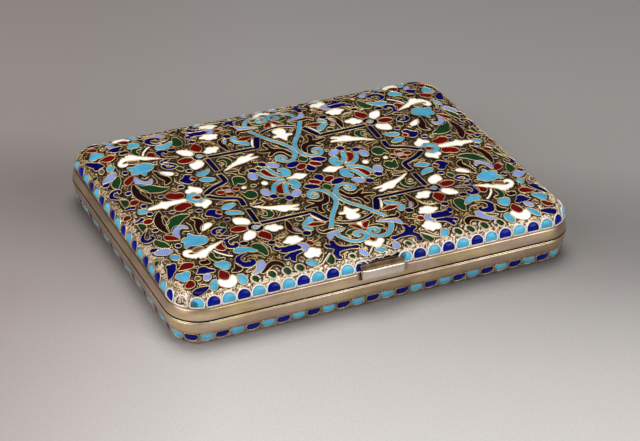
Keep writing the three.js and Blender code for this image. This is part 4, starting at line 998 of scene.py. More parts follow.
def laid(plan):
    """Where the hand-bent wires really lie: a little off the true mirror images."""
    across, along = plan[:, 0] / 50, plan[:, 1] / 35
    inner = (1 - (across / 1.05) ** 8).clip(0, 1) * (1 - (along / 1.12) ** 6).clip(0, 1)
    back = ((along + 0.15) / 0.45).clip(0, 1)
    back = back * back * (3 - 2 * back)
    right = 0.05 + 0.55 * (along - across) - 0.25 * np.exp(-(plan[:, 0] / 12) ** 2)
    deep = 1.6 * across ** 2 * back * np.where(across < 0, 1.0, 0.8) + 1.2 * along.clip(0) ** 3
    return plan + np.c_[right * inner, deep * inner]


def unlaid(plan):
    """Where a point is set out so that it comes to lie at its own place in the front left quarter."""
    return 2 * plan - laid(plan)


def to_outline(points, loop):
    """Distance of points to a closed outline, and whether they lie in it."""
    a, b = loop, np.roll(loop, -1, axis=0)
    ab = b - a
    ap = points[:, None] - a[None]
    t = ((ap * ab).sum(2) / np.maximum((ab * ab).sum(1), 1e-12)).clip(0, 1)
    distance = np.linalg.norm(ap - t[..., None] * ab, axis=2).min(1)
    crosses = (a[None, :, 1] > points[:, None, 1]) != (b[None, :, 1] > points[:, None, 1])
    rise = np.where(ab[:, 1] == 0, 1e-12, ab[:, 1])
    where = a[:, 0] + (points[:, None, 1] - a[:, 1]) * ab[:, 0] / rise
    return distance, (crosses & (points[:, None, 0] < where)).sum(1) % 2 == 1


def filled(loop, step=0.38):
    """Plan points and triangles that fill an outline, with each point's distance to it."""
    ahead = unit(np.roll(loop, -1, 0) - np.roll(loop, 1, 0))
    near = loop + np.c_[-ahead[:, 1], ahead[:, 0]] * (0.1 if runs_left(loop) else -0.1)
    distance, inside = to_outline(near, loop)
    near = near[inside & (distance > 0.07)]
    low, high = loop.min(0), loop.max(0)
    grid = np.stack(np.meshgrid(np.arange(low[0] + step / 2, high[0], step),
                                np.arange(low[1] + step / 2, high[1], step)), -1).reshape(-1, 2)
    if len(grid):
        distance, inside = to_outline(grid, loop)
        grid = grid[inside & (distance > 0.24)]
    points = np.vstack([loop, near, grid])
    found = delaunay_2d_cdt([Vector(p) for p in points], [], [list(range(len(loop)))], 1, 1e-4)
    plan = np.array([tuple(p) for p in found[0]])
    triangles = np.array([f for f in found[2] if len(f) == 3])
    distance, _ = to_outline(plan, loop)
    a, b, c = (plan[triangles[:, k]] for k in range(3))
    area = (b[:, 0] - a[:, 0]) * (c[:, 1] - a[:, 1]) - (c[:, 0] - a[:, 0]) * (b[:, 1] - a[:, 1])
    triangles[area < 0] = triangles[area < 0][:, ::-1]
    return plan, triangles, distance


# Section of a wire: offset from its middle towards the outer side, lift, and how deep it lies, which paints
# it dark as shade
CELL_WIRE = [(-0.12, -0.17, 0.7), (-0.07, -0.01, 0.0), (0.08, -0.02, 0.0), (0.12, -0.17, 0.8),
             (0.22, -0.36, 1.0)]
UNDER_WIRE = [(-0.12, -0.17, 0.7), (-0.07, -0.01, 0.0), (0.09, -0.02, 0.0), (0.22, -0.36, 1.0)]
FREE_WIRE = [(-0.26, -0.35, 1.0), (-0.13, -0.15, 0.7), (-0.09, -0.05, 0.1), (0.0, -0.01, 0.0),
             (0.09, -0.05, 0.1), (0.13, -0.15, 0.7), (0.26, -0.35, 1.0)]
BEAD_WIRE = [(-0.19, -0.2, 0.3), (-0.14, -0.02, 0.0), (0.0, 0.06, 0.0), (0.14, -0.02, 0.0),
             (0.19, -0.2, 0.6), (0.28, -0.35, 1.0)]
TORN_WIRE = [(-0.14, -0.2, 0.9), (-0.07, 0.0, 0.0), (0.07, 0.02, 0.0), (0.16, -0.15, 0.8)]


def depths(section, count):
    """How deep each point of a wire lies, for its section repeated along it."""
    return np.tile([deep for _, _, deep in section], count)


def to_the_right(ahead, behind):
    """The way out to the right at each point of a path, between the steps before and after it."""
    along = unit(unit(ahead) + unit(behind))
    return np.c_[along[:, 1], -along[:, 0]]


def grown(loop, reach):
    """A closed outline moved outwards."""
    right = to_the_right(np.roll(loop, -1, 0) - loop, loop - np.roll(loop, 1, 0))
    return loop + right * (reach if runs_left(loop) else -reach)


def ridge(skin, path, place, section, closed=True, offset=0.0, flip=False):
    """A wire along a plan path, offset to the outer side of a closed one."""
    if closed:
        if not runs_left(path):
            path = path[::-1]
        out = to_the_right(np.roll(path, -1, 0) - path, path - np.roll(path, 1, 0))
    else:
        out = to_the_right(np.gradient(path, axis=0), np.gradient(path, axis=0))
    run = np.r_[0, np.cumsum(np.linalg.norm(np.diff(path, axis=0), axis=1))]
    taper = np.ones(len(path))
    if not closed:
        taper[[0, -1]] = 0.5
    rows = [place(path + out * ((side + offset) * taper)[:, None], np.full(len(path), lift))
            for side, lift, _ in section]
    quads = sheet_quads(len(path), len(section), closed)
    skin.add(np.stack(rows, 1).reshape(-1, 3), quads[:, ::-1] if flip else quads,
             run=np.repeat(run, len(section)), deep=depths(section, len(path)))


# The kinds of outline, and the mirrored copies that are made of each
FOUR_WAYS = [(1, 1), (-1, 1), (1, -1), (-1, -1)]
COPIES = {"drawn": FOUR_WAYS, "placed": FOUR_WAYS, "long": [(1, 1), (-1, 1)], "short": [(1, 1), (1, -1)]}
GROUPS = {"drawn": QUARTER, "placed": PLACED_QUARTER, "long": ON_LONG_AXIS, "short": ON_SHORT_AXIS}

# How far each colour's glass runs out past a placed outline
PLACED_SPREAD = [0.2, 0.12, 0.12, 0.05, 0.18, 0.18, 0.16, 0.22, 0.0, 0.0]


def lay_ornament(half):
    """The cells, their wires and the free wires of one face, and where the wires lie in plan."""
    cells, wires, loops, lines = [Skin() for _ in ENAMELS], Skin(), [], []
    tone = np.random.default_rng(20 + half)
    section = CELL_WIRE if half == LID else UNDER_WIRE

    def place(plan, lift):
        return on_field(laid(plan), lift, half)

    for kind, colour, loop in ((kind, *cell) for kind, group in GROUPS.items() for cell in group):
        if kind == "drawn":
            loop = grown(straightened(loop), CELL_SPREAD)
        elif kind == "placed":
            loop = unlaid(grown(loop, PLACED_SPREAD[colour]))
        loops.append(loop)
        plan, triangles, distance = filled(loop)
        lift = CELL_EDGE + (CELL_MIDDLE - CELL_EDGE) * (1 - np.exp(-distance / GLASS_CURVE))
        for sx, sy in COPIES[kind]:
            cells[colour].add(
                place(plan * (sx, sy), lift), triangles[:, ::-1] if sx * sy * half < 0 else triangles,
                tone=0.45 + 0.55 * tone.random(), rim=np.exp(-distance / RIM_FADE))
            if colour != CREAM:
                ridge(wires, loop * (sx, sy), place, section, offset=WIRE_OFFSET, flip=half < 0)
            lines.append(laid(loop * (sx, sy)))
    for path in CURLS:
        path = straightened(smooth_path(path))
        free = np.ones(len(path), bool)
        for loop in loops:
            distance, inside = to_outline(path, loop)
            free &= ~inside & (distance > FREE_WIRE_ROOM)
        ends = np.flatnonzero(np.diff(np.r_[0, free, 0]))
        for start, end in zip(ends[::2], ends[1::2]):
            if end - start > 3:
                for copy in FOUR_WAYS:
                    ridge(wires, path[start:end] * copy, place, FREE_WIRE, closed=False, flip=half < 0)
    return cells, wires, np.vstack(lines)


def groove(plan, lines):
    """How deep the ground dips beside the cells' wires, from 0 to 1. The dip lowers the ground and also
    paints it darker, as shade.
    """
    tree = KDTree(len(lines))
    for index, (x, y) in enumerate(lines):
        tree.insert((x, y, 0.0), index)
    tree.balance()
    distance = np.array([tree.find((x, y, 0.0))[2] for x, y in plan])
    return (1 - (np.abs(distance - GROOVE_PLACE) - GROOVE_FLAT).clip(0) / GROOVE_FADE).clip(0, 1)


def front_light_share(y):
    """How near the front a point lies: painted light, which makes the ground at the border paler towards the
    front.
    """
    return (0.5 - 1.2 * y / CASE_DEPTH).clip(0.0, 1.0)


def lay_ground(half, lines, step):
    """Matted ground between the cells, with grains of its own height at each point."""
    inset, _ = shoulder(shoulder_angle(BEAD_ROW_END + SEAT_GAP), 0.0)
    reach_x, reach_y = CASE_LENGTH / 2 - inset, CASE_DEPTH / 2 - inset
    nx, ny = int(2 * reach_x / step), int(2 * reach_y / step)
    x, y = np.meshgrid(np.linspace(-reach_x, reach_x, nx), np.linspace(-reach_y, reach_y, ny), indexing="ij")
    noise = np.random.default_rng(40 + half)
    edge = (np.abs(x) > reach_x - 1e-6) | (np.abs(y) > reach_y - 1e-6)
    x = x + np.where(edge, 0, noise.uniform(-GRAIN_SHIFT, GRAIN_SHIFT, x.shape) * step)
    y = y + np.where(edge, 0, noise.uniform(-GRAIN_SHIFT, GRAIN_SHIFT, y.shape) * step)
    qx, qy = np.abs(x) - STRAIGHT_X, np.abs(y) - STRAIGHT_Y
    beyond = np.maximum(np.hypot(qx.clip(0), qy.clip(0)) / (CORNER_RADIUS - inset), 1.0)
    x = np.sign(x) * (np.minimum(np.abs(x), STRAIGHT_X) + qx.clip(0) / beyond)
    y = np.sign(y) * (np.minimum(np.abs(y), STRAIGHT_Y) + qy.clip(0) / beyond)
    reach = np.maximum(np.abs(x) - reach_x, np.abs(y) - reach_y)
    border = np.exp((reach + BORDER_WIDTH).clip(-30, 0) / BORDER_FADE) * (front_light_share(y) if half == LID else 0.5)
    height = noise.random(x.shape) ** (2.1 - 1.5 * border)
    plan = np.c_[x.ravel(), y.ravel()]
    # The groove lowers the grains and darkens their colour: painted shade beside the wires.
    height = height.ravel() * (1 - GROOVE_DEPTH * groove(plan, lines))
    lift = GROUND_LOW + (GROUND_HIGH - GROUND_LOW) * height
    quads = turned_over(sheet_quads(nx, ny))
    points = on_field(plan, lift, half)
    size = np.linalg.norm(np.cross(points[quads[:, 2]] - points[quads[:, 0]],
                                   points[quads[:, 3]] - points[quads[:, 1]]), axis=1)
    quads = quads[size > 1e-4]
    return Skin().add(points, quads if half > 0 else quads[:, ::-1], height=height, edge=border.ravel())


def bead_shape(count=26):
    """Plan of a bead, round above and cut off flat below, and the height of its middle."""
    flat_angle = math.acos(GLASS_FLAT / GLASS_WIDTH)
    middle = GLASS_HEIGHT * math.sin(flat_angle) / (1 + math.sin(flat_angle))
    t = np.linspace(-flat_angle, math.pi + flat_angle, count)
    shape = np.c_[GLASS_WIDTH / 2 * np.cos(t), middle + (GLASS_HEIGHT - middle) * np.sin(t)]
    flat = np.linspace(shape[-1], shape[0], 7)[1:-1]
    return np.vstack([shape, flat]), middle


# Beads of the lid that have lost some of their glass: where from the bead's middle, and how far it reaches
LOST_GLASS = {-13: (-0.9, -0.1, 1.0), -2: (1.3, 0.2, 2.1), 1: (-1.0, 0.9, 1.1), 7: (1.2, 0.9, 0.35)}
BARE_BEAD = -14
BARE_STEP, BARE_DEPTH, BARE_GRAIN = 0.45, 0.25, 0.06
SWAPPED_BEADS = -15  # from this one on, round the left side, the two colours change places
MISSING_BEADS = (-1, 0)
SIDE_SHADE_LINE = 3.2 - STRAIGHT_Y  # in front of this the wires of the beads keep the bright metal; behind it they take a darker copy as painted shade
BEAD_RINGS = [(1.0, 1.0), (0.93, 0.4), (0.8, 0.1), (0.6, 0.0), (0.36, 0.0), (0.16, 0.0)]  # size, and how dark the rim is painted, as shade
BEAD_CREST, BEAD_SINK = 0.06, 0.22
BEAD_GROUND_STEP = 0.32
TORN_DEPTH = 0.5
BEAD_PITCH = EDGE_LENGTH / BEAD_COUNT
CROWDING = [-60, -46, -18, 2, 46, 60], [0, 0.9, 0.05, -0.4, -0.4, 0]  # places on the edge, and shifts


def lid_bead_place(index):
    """The lid's beads crowd a little towards the front left corner."""
    centre = (index + 0.5) * BEAD_PITCH
    if centre > EDGE_LENGTH / 2:
        centre, index = centre - EDGE_LENGTH, index - BEAD_COUNT
    return centre + np.interp(centre, *CROWDING), index


def in_push_slot(points):
    """Whether a point lies in the room that the thumb-piece needs when it is pressed."""
    beside = np.abs(points[:, 0] - PUSH_CENTRE_X) < PUSH_WIDTH / 2 + PUSH_SIDE_CLEARANCE
    return beside & (points[:, 1] < FRONT_Y + PUSH_SLOT_BACK)


def lay_beads(half):
    """The bead row of one half: the beads by colour, their wires, and the ground of a bare one."""
    shape, middle = bead_shape()
    dome, wires, side_wires, bare = [Skin(), Skin()], Skin(), Skin(), Skin()
    tone = np.random.default_rng(60 + half)
    start = GLASS_START if half == LID else BASE_GLASS_START
    spread = np.vstack([(shape - (0, middle)) * share for share, _ in BEAD_RINGS] + [np.zeros((1, 2))])
    sink = [BEAD_CREST - BEAD_SINK * share ** 2.4 for share, _ in BEAD_RINGS]
    count = len(shape)
    lift = np.r_[np.repeat(sink, count), BEAD_CREST]
    rims = np.r_[np.repeat([rim for _, rim in BEAD_RINGS], count), 0.0]
    i = np.arange(count)
    last = len(spread) - 1 - count
    fan = np.c_[last + i, last + (i + 1) % count, np.full(count, len(spread) - 1)]
    faces = [*sheet_quads(len(BEAD_RINGS), count, wrapped=True), *fan]
    if half == BASE:
        faces = [f[::-1] for f in faces]
    for index in range(BEAD_COUNT):
        centre, number = lid_bead_place(index)
        if half == BASE:
            centre = (index + 0.5) * BEAD_PITCH + BASE_BEAD_OFFSET
        elif number in MISSING_BEADS:
            continue

        def place(plan, lift, centre=centre):
            return on_shoulder(centre + plan[:, 0], start + plan[:, 1], lift, half)

        # Bead wires behind the front line take the darker metal: painted shade.
        ahead_of_side_shade = place(np.zeros((1, 2)), 0.0)[0, 1] < SIDE_SHADE_LINE
        ridge(wires if ahead_of_side_shade else side_wires, shape, place, BEAD_WIRE, offset=BEAD_WIRE_OFFSET,
              flip=half < 0)
        if half == LID and number == BARE_BEAD:
            plan, triangles, _ = filled(shape, BARE_STEP)
            bare.add(place(plan, -BARE_DEPTH + BARE_GRAIN * tone.random(len(plan))), triangles,
                     height=tone.random(len(plan)), edge=1.0)
            continue
        rim = rims
        if half == LID and number in LOST_GLASS:
            across, up, reach = LOST_GLASS[number]
            reach = reach * (1 + 0.2 * tone.random(len(spread)))
            rim = np.where(np.hypot(spread[:, 0] - across, spread[:, 1] - up) < reach, 0.95, rim)
        # A random tone of the glass, plus painted shade on every bead of the base's lower row.
        tone_and_base_shade = 0.6 * tone.random() ** 1.5 + (0.3 if half == BASE else 0.0)
        swapped = half == BASE or number <= SWAPPED_BEADS
        dome[(number + swapped) % 2].add(place(spread + (0, middle), lift), faces, tone=tone_and_base_shade, rim=rim)
    return dome, wires, side_wires, bare


def lay_bead_ground(half):
    """The matted strip between the beads, torn away over the thumb-piece and open where it slides."""
    around, up = int(EDGE_LENGTH / BEAD_GROUND_STEP), 11
    distance = np.repeat(np.linspace(0, EDGE_LENGTH, around, endpoint=False), up)
    run = np.tile(np.linspace(BEAD_ROW_START - 0.2, BEAD_ROW_END + 0.12, up), around)
    height = np.random.default_rng(80 + half).random(len(run)) ** 0.7
    lift = GROUND_LOW + (GROUND_HIGH - GROUND_LOW) * height
    quads = turned_over(sheet_quads(around, up, closed=True))
    if half == LID:
        signed = np.where(distance > EDGE_LENGTH / 2, distance - EDGE_LENGTH, distance)
        torn = (np.abs(signed - PUSH_CENTRE_X) < PUSH_WIDTH / 2 + 0.1) & (run < TEAR_RUN)
        # In the tear the ground takes its darkest grain: painted shade.
        height, lift = np.where(torn, 0.0, height), np.where(torn, -TORN_DEPTH, lift)
    points = on_shoulder(distance, run, lift, half)
    if half == LID:
        quads = quads[~in_push_slot(points)[quads].any(1)]
        used, quads = np.unique(quads, return_inverse=True)
        points, height, quads = points[used], height[used], quads.reshape(-1, 4)
    return Skin().add(points, quads if half > 0 else quads[:, ::-1], height=height,
                      edge=front_light_share(points[:, 1]))


def twisted_wire(z, gap=None, radius=0.11, twist=0.95, step=0.2, sides=6):
    """Two strands twisted round each other along the edge of a band, broken where there is a gap."""
    skin = Skin()
    count = int(EDGE_LENGTH / step)
    turns = round(EDGE_LENGTH / twist)
    s = np.linspace(0, EDGE_LENGTH, count, endpoint=False)
    if gap:
        s = np.linspace(gap[1], EDGE_LENGTH + gap[0], count)
    plan, out = on_edge(s, BAND_BOW + 2 * radius)
    faces = sheet_quads(count, sides, not gap, wrapped=True)[:, ::-1].tolist()
    if gap:
        faces += [list(range(sides)), list(range(count * sides - 1, (count - 1) * sides - 1, -1))]
    for strand in (0, math.pi):
        phase = strand + 2 * math.pi * turns * s / EDGE_LENGTH
        centre = np.c_[plan + out * (radius * np.cos(phase))[:, None], z + radius * np.sin(phase)]
        rows = [centre + np.c_[out * (radius * math.cos(a)), np.full(count, radius * math.sin(a))]
                for a in np.linspace(0, 2 * math.pi, sides, endpoint=False)]
        skin.add(np.stack(rows, 1).reshape(-1, 3), faces, run=np.repeat(s, sides), deep=0.0)
    return skin


def lofted(rings, closed=False):
    """A skin through rings of equal count, with a fan over each end where it isn't closed."""
    count = len(rings[0])
    points = np.vstack(rings)
    i = np.arange(count)
    j = (i + 1) % count
    faces = sheet_quads(len(rings), count, closed, wrapped=True).tolist()
    if not closed:
        for row in (0, len(rings) - 1):
            middle = rings[row].mean(0)
            if np.ptp(rings[row][:, 2]) < 1e-6:
                middle[2] = rings[row][0][2]
            points = np.vstack([points, middle])
            p, q = (j, i) if row == 0 else (i, j)
            faces += np.c_[np.full(count, len(points) - 1), row * count + p, row * count + q].tolist()
    return Skin().add(points, faces)


def push_slot_tool(mark=0):
    """The slot that the thumb-piece slides in."""
    half = PUSH_WIDTH / 2 + PUSH_SIDE_CLEARANCE
    return tool_object(*box((PUSH_CENTRE_X - half, PUSH_CENTRE_X + half),
                            (FRONT_Y - 1, FRONT_Y + PUSH_SLOT_BACK), (PUSH_FOOT - 0.1, ABOVE_LID)), mark)


def groove_tool(sides=48):
    """The round groove for the hinge's knuckles."""
    radius, half = KNUCKLE_RADIUS + KNUCKLE_CLEARANCE, HINGE_LENGTH / 2 + KNUCKLE_CLEARANCE
    t = np.linspace(0, 2 * math.pi, sides, endpoint=False)
    circle = np.c_[np.zeros(sides), HINGE_Y + radius * np.cos(t), SEAM_HEIGHT + radius * np.sin(t)]
    faces = [(i, (i + 1) % sides, sides + (i + 1) % sides, sides + i) for i in range(sides)]
    faces += [tuple(range(sides))[::-1], tuple(range(sides, 2 * sides))]
    return tool_object(np.vstack([circle + (-half, 0, 0), circle + (half, 0, 0)]), faces)


# Sizes of the shells, the cuts and the inner pieces
DOME_SHARES = (0.3, 0.62, 0.75, 0.82, 0.88, 0.93, 0.97)
SKIN_DEPTH = ENAMEL + SEAT_GAP
ABOVE_LID = 17
PLUG_LENGTH = 1.0
LIP_END = 11  # the inner lip stops this far short of the back
LID_STRAP_BOTTOM = 12.05
BASE_STRAP_BOTTOM = 1.65
ROLL_RADIUS = 0.32
HOOK_BOXES = [((-3, 3), (0, 3.0), (9.35, 10.4)), ((-3, 3), (2.5, 3.0), (6.3, 12.1)),
              ((-2.3, 2.3), (2.1, 2.6), (6.3, 7.0))]  # shank, plate and nose, from the push-piece's middle


def loft(name, rings, materials, body, node, closed=False, kinds=None):
    """Builds a piece through rings. The kinds say the material of each stretch between two rings."""
    if kinds:
        kinds = np.repeat(kinds if closed else [*kinds, kinds[0], kinds[-1]], len(rings[0]))
    return build(name, lofted(rings, closed), materials, body, [node], kinds)


def make_lid_shell():
    inside = [dome_ring(share, LINING) for share in DOME_SHARES]
    inside += [ring(*shoulder(a, LINING)) for a in np.linspace(math.pi / 2, 0, 9)]
    inside += [ring(WALL, LIP_TOP + 0.2), ring(WALL, SEAM_UPPER + 0.06), ring(WALL - 0.06, SEAM_UPPER)]
    outside = [ring(0.2, SEAM_UPPER), ring(0.06, SEAM_UPPER + 0.05)]
    outside += [ring(band_inset(z), z) for z in np.linspace(SEAM_UPPER + 0.14, BAND_TOP, 10)]
    outside += [ring(*shoulder(a, SKIN_DEPTH)) for a in np.linspace(0, math.pi / 2, 11)]
    outside += [dome_ring(share, SKIN_DEPTH) for share in DOME_SHARES[::-1]]
    kinds = [1] * (len(inside) - 1) + [2] * 3 + [0] * (len(outside) - 3)
    made = loft("lid_case", inside + outside, [GILT_BAND, GILT_INSIDE, GILT_SHADE], "lid", "lid_shell",
                kinds=kinds)
    cut_away(made, groove_tool(), push_slot_tool(mark=2))


def make_base_shell():
    wall_top = SEAM_LOWER - RIM_HEIGHT - 0.02
    outside = [ring(*shoulder(a, SKIN_DEPTH, BASE)) for a in np.linspace(math.pi / 2, 0, 11)]
    outside += [ring(band_inset(z), z) for z in np.linspace(BAND_BOTTOM, wall_top, 9)]
    inside = [ring(WALL, wall_top), ring(WALL, LIP_BOTTOM - SEAT_GAP)]
    inside += [ring(*shoulder(a, LINING, BASE)) for a in np.linspace(0, math.pi / 2, 9)]
    kinds = [0] * len(outside) + [1] * (len(inside) - 1)
    made = loft("base_case", outside + inside, [GILT_BAND, GILT_INSIDE], "base", "base_shell", kinds=kinds)
    cut_away(made, groove_tool())


def make_rim():
    """The bright bead of metal under the seam. Its top is in shade."""
    bottom = SEAM_LOWER - RIM_HEIGHT
    rings = [ring(-RIM_PROUD * math.cos(a), bottom + RIM_HEIGHT / 2 + RIM_HEIGHT / 2 * math.sin(a))
             for a in np.linspace(-math.pi / 2, math.pi / 2, 9)]
    rings += [ring(WALL, SEAM_LOWER), ring(WALL, bottom)]
    made = loft("base_bright_rim", rings, [GILT_RIM, GILT_SHADE], "base", "base_rim", closed=True,
                kinds=[0] * 8 + [1, 0, 0])
    cut_away(made, groove_tool())


def make_lip():
    """The thin wall inside the lid, open at the back and notched for the thumb-piece."""
    rings = [ring(inset, z) for inset, z in (
        (LIP_OUTER, LIP_BOTTOM), (LIP_OUTER, LIP_TOP - 0.1), (LIP_OUTER + 0.1, LIP_TOP),
        (LIP_INNER - 0.1, LIP_TOP), (LIP_INNER, LIP_TOP - 0.1), (LIP_INNER, LIP_BOTTOM))]
    made = loft("base_inner_lip", rings, GILT_INSIDE, "base", "base_lip", closed=True)
    back = tool_object(*box((-60, 60), (CASE_DEPTH / 2 - LIP_END, 45), (0, 15)))
    half = PUSH_WIDTH / 2 + 2 * PUSH_SIDE_CLEARANCE
    notch = tool_object(*box((PUSH_CENTRE_X - half, PUSH_CENTRE_X + half),
                             (FRONT_Y, FRONT_Y + LIP_INNER + 0.5), (SEAM_HEIGHT + 0.1, 15)))
    cut_away(made, back, notch)


def round_bar(name, radius, start, end, material, body, node, bore=0.0, sides=40, ease=0.12):
    """A bar or tube on the hinge's axis, with eased ends."""
    t = np.linspace(0, 2 * math.pi, sides, endpoint=False)
    stations = [(start, radius - ease), (start + ease * 0.35, radius - ease * 0.35), (start + ease, radius),
                (end - ease, radius), (end - ease * 0.35, radius - ease * 0.35), (end, radius - ease)]
    if bore:
        stations += [(end, bore), (start, bore)]
    rings = [np.c_[np.full(sides, x), HINGE_Y + r * np.cos(t), SEAM_HEIGHT + r * np.sin(t)]
             for x, r in stations]
    loft(name, rings, material, body, node, closed=bool(bore))


def make_hinge():
    pitch = (HINGE_LENGTH + KNUCKLE_GAP) / KNUCKLE_COUNT
    for index in range(KNUCKLE_COUNT):
        owner = "base" if index % 2 == 0 else "lid"
        node = f"{owner}_knuckle_{index // 2 + 1}"
        start = -HINGE_LENGTH / 2 + index * pitch
        round_bar(node + "_tube", KNUCKLE_RADIUS, start, start + pitch - KNUCKLE_GAP, GILT_BAND, owner, node,
                  PIN_RADIUS + 0.05)
    for side, start in (("left", -HINGE_LENGTH / 2), ("right", HINGE_LENGTH / 2 - PLUG_LENGTH)):
        round_bar(f"pin_end_{side}", PIN_RADIUS, start, start + PLUG_LENGTH, GILT_RIM, "base",
                  f"pin_plug_{side}")


def push_profile():
    """Side view of the thumb-piece, as inset and height, from its lower back round the rolled lip."""
    front, top = -PUSH_PROUD, PUSH_LIP - ROLL_RADIUS
    t = np.radians(np.linspace(180, 60, 9))
    return np.vstack([
        [[front + 0.2, PUSH_FOOT], [front + 0.03, PUSH_FOOT + 0.16], [front + 0.12, PUSH_FOOT + 1.0],
         [front + 0.14, PUSH_FOOT + 1.8], [front + 0.04, top - 0.2]],
        np.c_[front + ROLL_RADIUS + ROLL_RADIUS * np.cos(t), top + ROLL_RADIUS * np.sin(t)],
        [[front + 0.72, PUSH_LIP - 0.12], [0.15, PUSH_LIP + 0.1], [0.6, PUSH_LIP + 0.5],
         [PUSH_BACK_INSET - 0.1, PUSH_BACK - 0.04], [PUSH_BACK_INSET, PUSH_BACK - 0.2],
         [PUSH_BACK_INSET, PUSH_FOOT]],
    ])


# Sections of the thumb-piece: place along it, size, and how far its front is rounded back
PUSH_END = [(0.5, 0.9, 0.9), (0.497, 0.96, 0.6), (0.488, 1.0, 0.3), (0.474, 1.0, 0.12), (0.45, 1.0, 0.0),
            (0.25, 1.0, 0.0)]


def make_push_piece():
    """The thumb-piece, its top rougher with wear and painted darker as shade, and the shank, plate and nose
    behind it.
    """
    profile = push_profile()
    middle = np.array([0.3, (PUSH_LIP + PUSH_FOOT) / 2])
    rings = []
    for share, size, back in [(-s, *rest) for s, *rest in PUSH_END] + [(0, 1.0, 0.0)] + PUSH_END[::-1]:
        p = middle + (profile - middle) * size
        p[:, 0] += np.where(profile[:, 0] < 0.0, back * 0.55 * (-profile[:, 0] / PUSH_PROUD), 0)
        rings.append(np.c_[np.full(len(p), PUSH_CENTRE_X + share * PUSH_WIDTH), FRONT_Y + p[:, 0], p[:, 1]])
    skin = lofted(rings)
    skin.faces = [f[::-1] for f in skin.faces]
    centres = [skin.points[0][f].mean(0) for f in skin.faces]
    # The top takes a rougher, scratched metal for wear, darker in colour as painted shade.
    worn = [1 if y - FRONT_Y > -0.35 and z > PUSH_LIP - 0.2 else 0 for _, y, z in centres]
    build("thumb_piece", skin, [GILT_PUSH, PUSH_TOP_WEAR_AND_SHADE], "push", ["push_piece"], worn)
    inner = Skin()
    for (x0, x1), (y0, y1), z in HOOK_BOXES:
        inner.add(*box((PUSH_CENTRE_X + x0, PUSH_CENTRE_X + x1), (FRONT_Y + y0, FRONT_Y + y1), z))
    hook = build("thumb_piece_hook", inner, GILT_INSIDE, "push", smooth=False)
    ease = hook.modifiers.new("ease", "BEVEL")
    ease.width, ease.segments = 0.08 * MM, 2
    fixed(hook)


def make_strap(name, bottom, body, node):
    """Flat elastic webbing with rounded edges and fine puckers across it."""
    t = np.linspace(-math.pi / 2, math.pi / 2, 6)
    thick, reach = STRAP_THICKNESS / 2, STRAP_LENGTH / 2
    flat = STRAP_WIDTH / 2 - thick
    side = np.c_[flat + thick * np.cos(t), thick * np.sin(t)]
    top = np.c_[np.linspace(flat, thick - STRAP_WIDTH / 2, 13)[1:-1], np.full(11, thick)]
    y, z = np.vstack([side, top, side[::-1] * (-1, 1), top[::-1] * (1, -1)]).T
    rings = []
    for x in np.linspace(-reach, reach, 190):
        pucker = 0.03 * math.sin(x * 5.2) * (1 - abs(x) / reach) ** 0.3
        squeeze = 1 - 0.06 * math.cos(x / reach * math.pi / 2)
        bent = z * (1 - abs(pucker)) + pucker * (np.abs(z) > thick * 0.9) * 0.5
        rings.append(np.c_[np.full(len(y), x), y * squeeze, bottom + thick + bent.clip(-thick, thick)])
    loft(name, rings, ELASTIC, body, node)


def make_torn_edge():
    """Where the beads over the thumb-piece are lost: a ragged edge painted dark as shade, and bits of broken
    wire.
    """
    noise = np.random.default_rng(5)
    half = PUSH_WIDTH / 2 + 0.5
    x = np.linspace(PUSH_CENTRE_X - half, PUSH_CENTRE_X + half, 90)
    waves = 0.15 * np.sin(x * 2.1) + 0.1 * np.sin(x * 5.3)
    rag = 0.3 * noise.random(len(x)) + waves + 0.03 * (x - PUSH_CENTRE_X)
    rows = []
    for share in np.linspace(0, 1, 7):
        lift = -TORN_DEPTH + TORN_DEPTH * share ** 1.5 + 0.08 * noise.random(len(x)) * share
        rows.append(on_shoulder(x, TEAR_RUN - 0.35 + 0.5 * share + rag * share, lift, LID))
    points = np.stack(rows, 1).reshape(-1, 3)
    points[in_push_slot(points), 1] = FRONT_Y + PUSH_SLOT_BACK
    build("torn_edge", Skin().add(points, turned_over(sheet_quads(len(x), 7))), TEAR_SHADE, "lid")
    jag = TEAR_RUN + 0.1 + rag + 0.12 * noise.random(len(x))
    rows = [on_shoulder(x, jag + side, lift, LID) for side, lift, _ in TORN_WIRE]
    crest = Skin().add(np.stack(rows, 1).reshape(-1, 3), turned_over(sheet_quads(len(x), len(TORN_WIRE))),
                       run=np.repeat(x, len(TORN_WIRE)), deep=depths(TORN_WIRE, len(x)))
    build("torn_edge_crest", crest, BEAD_METAL, "lid")


make_lid_shell()
make_base_shell()
make_rim()
make_lip()
make_hinge()
make_push_piece()
make_strap("lid_webbing", LID_STRAP_BOTTOM, "lid", "lid_strap")
make_strap("base_webbing", BASE_STRAP_BOTTOM, "base", "base_strap")
make_torn_edge()

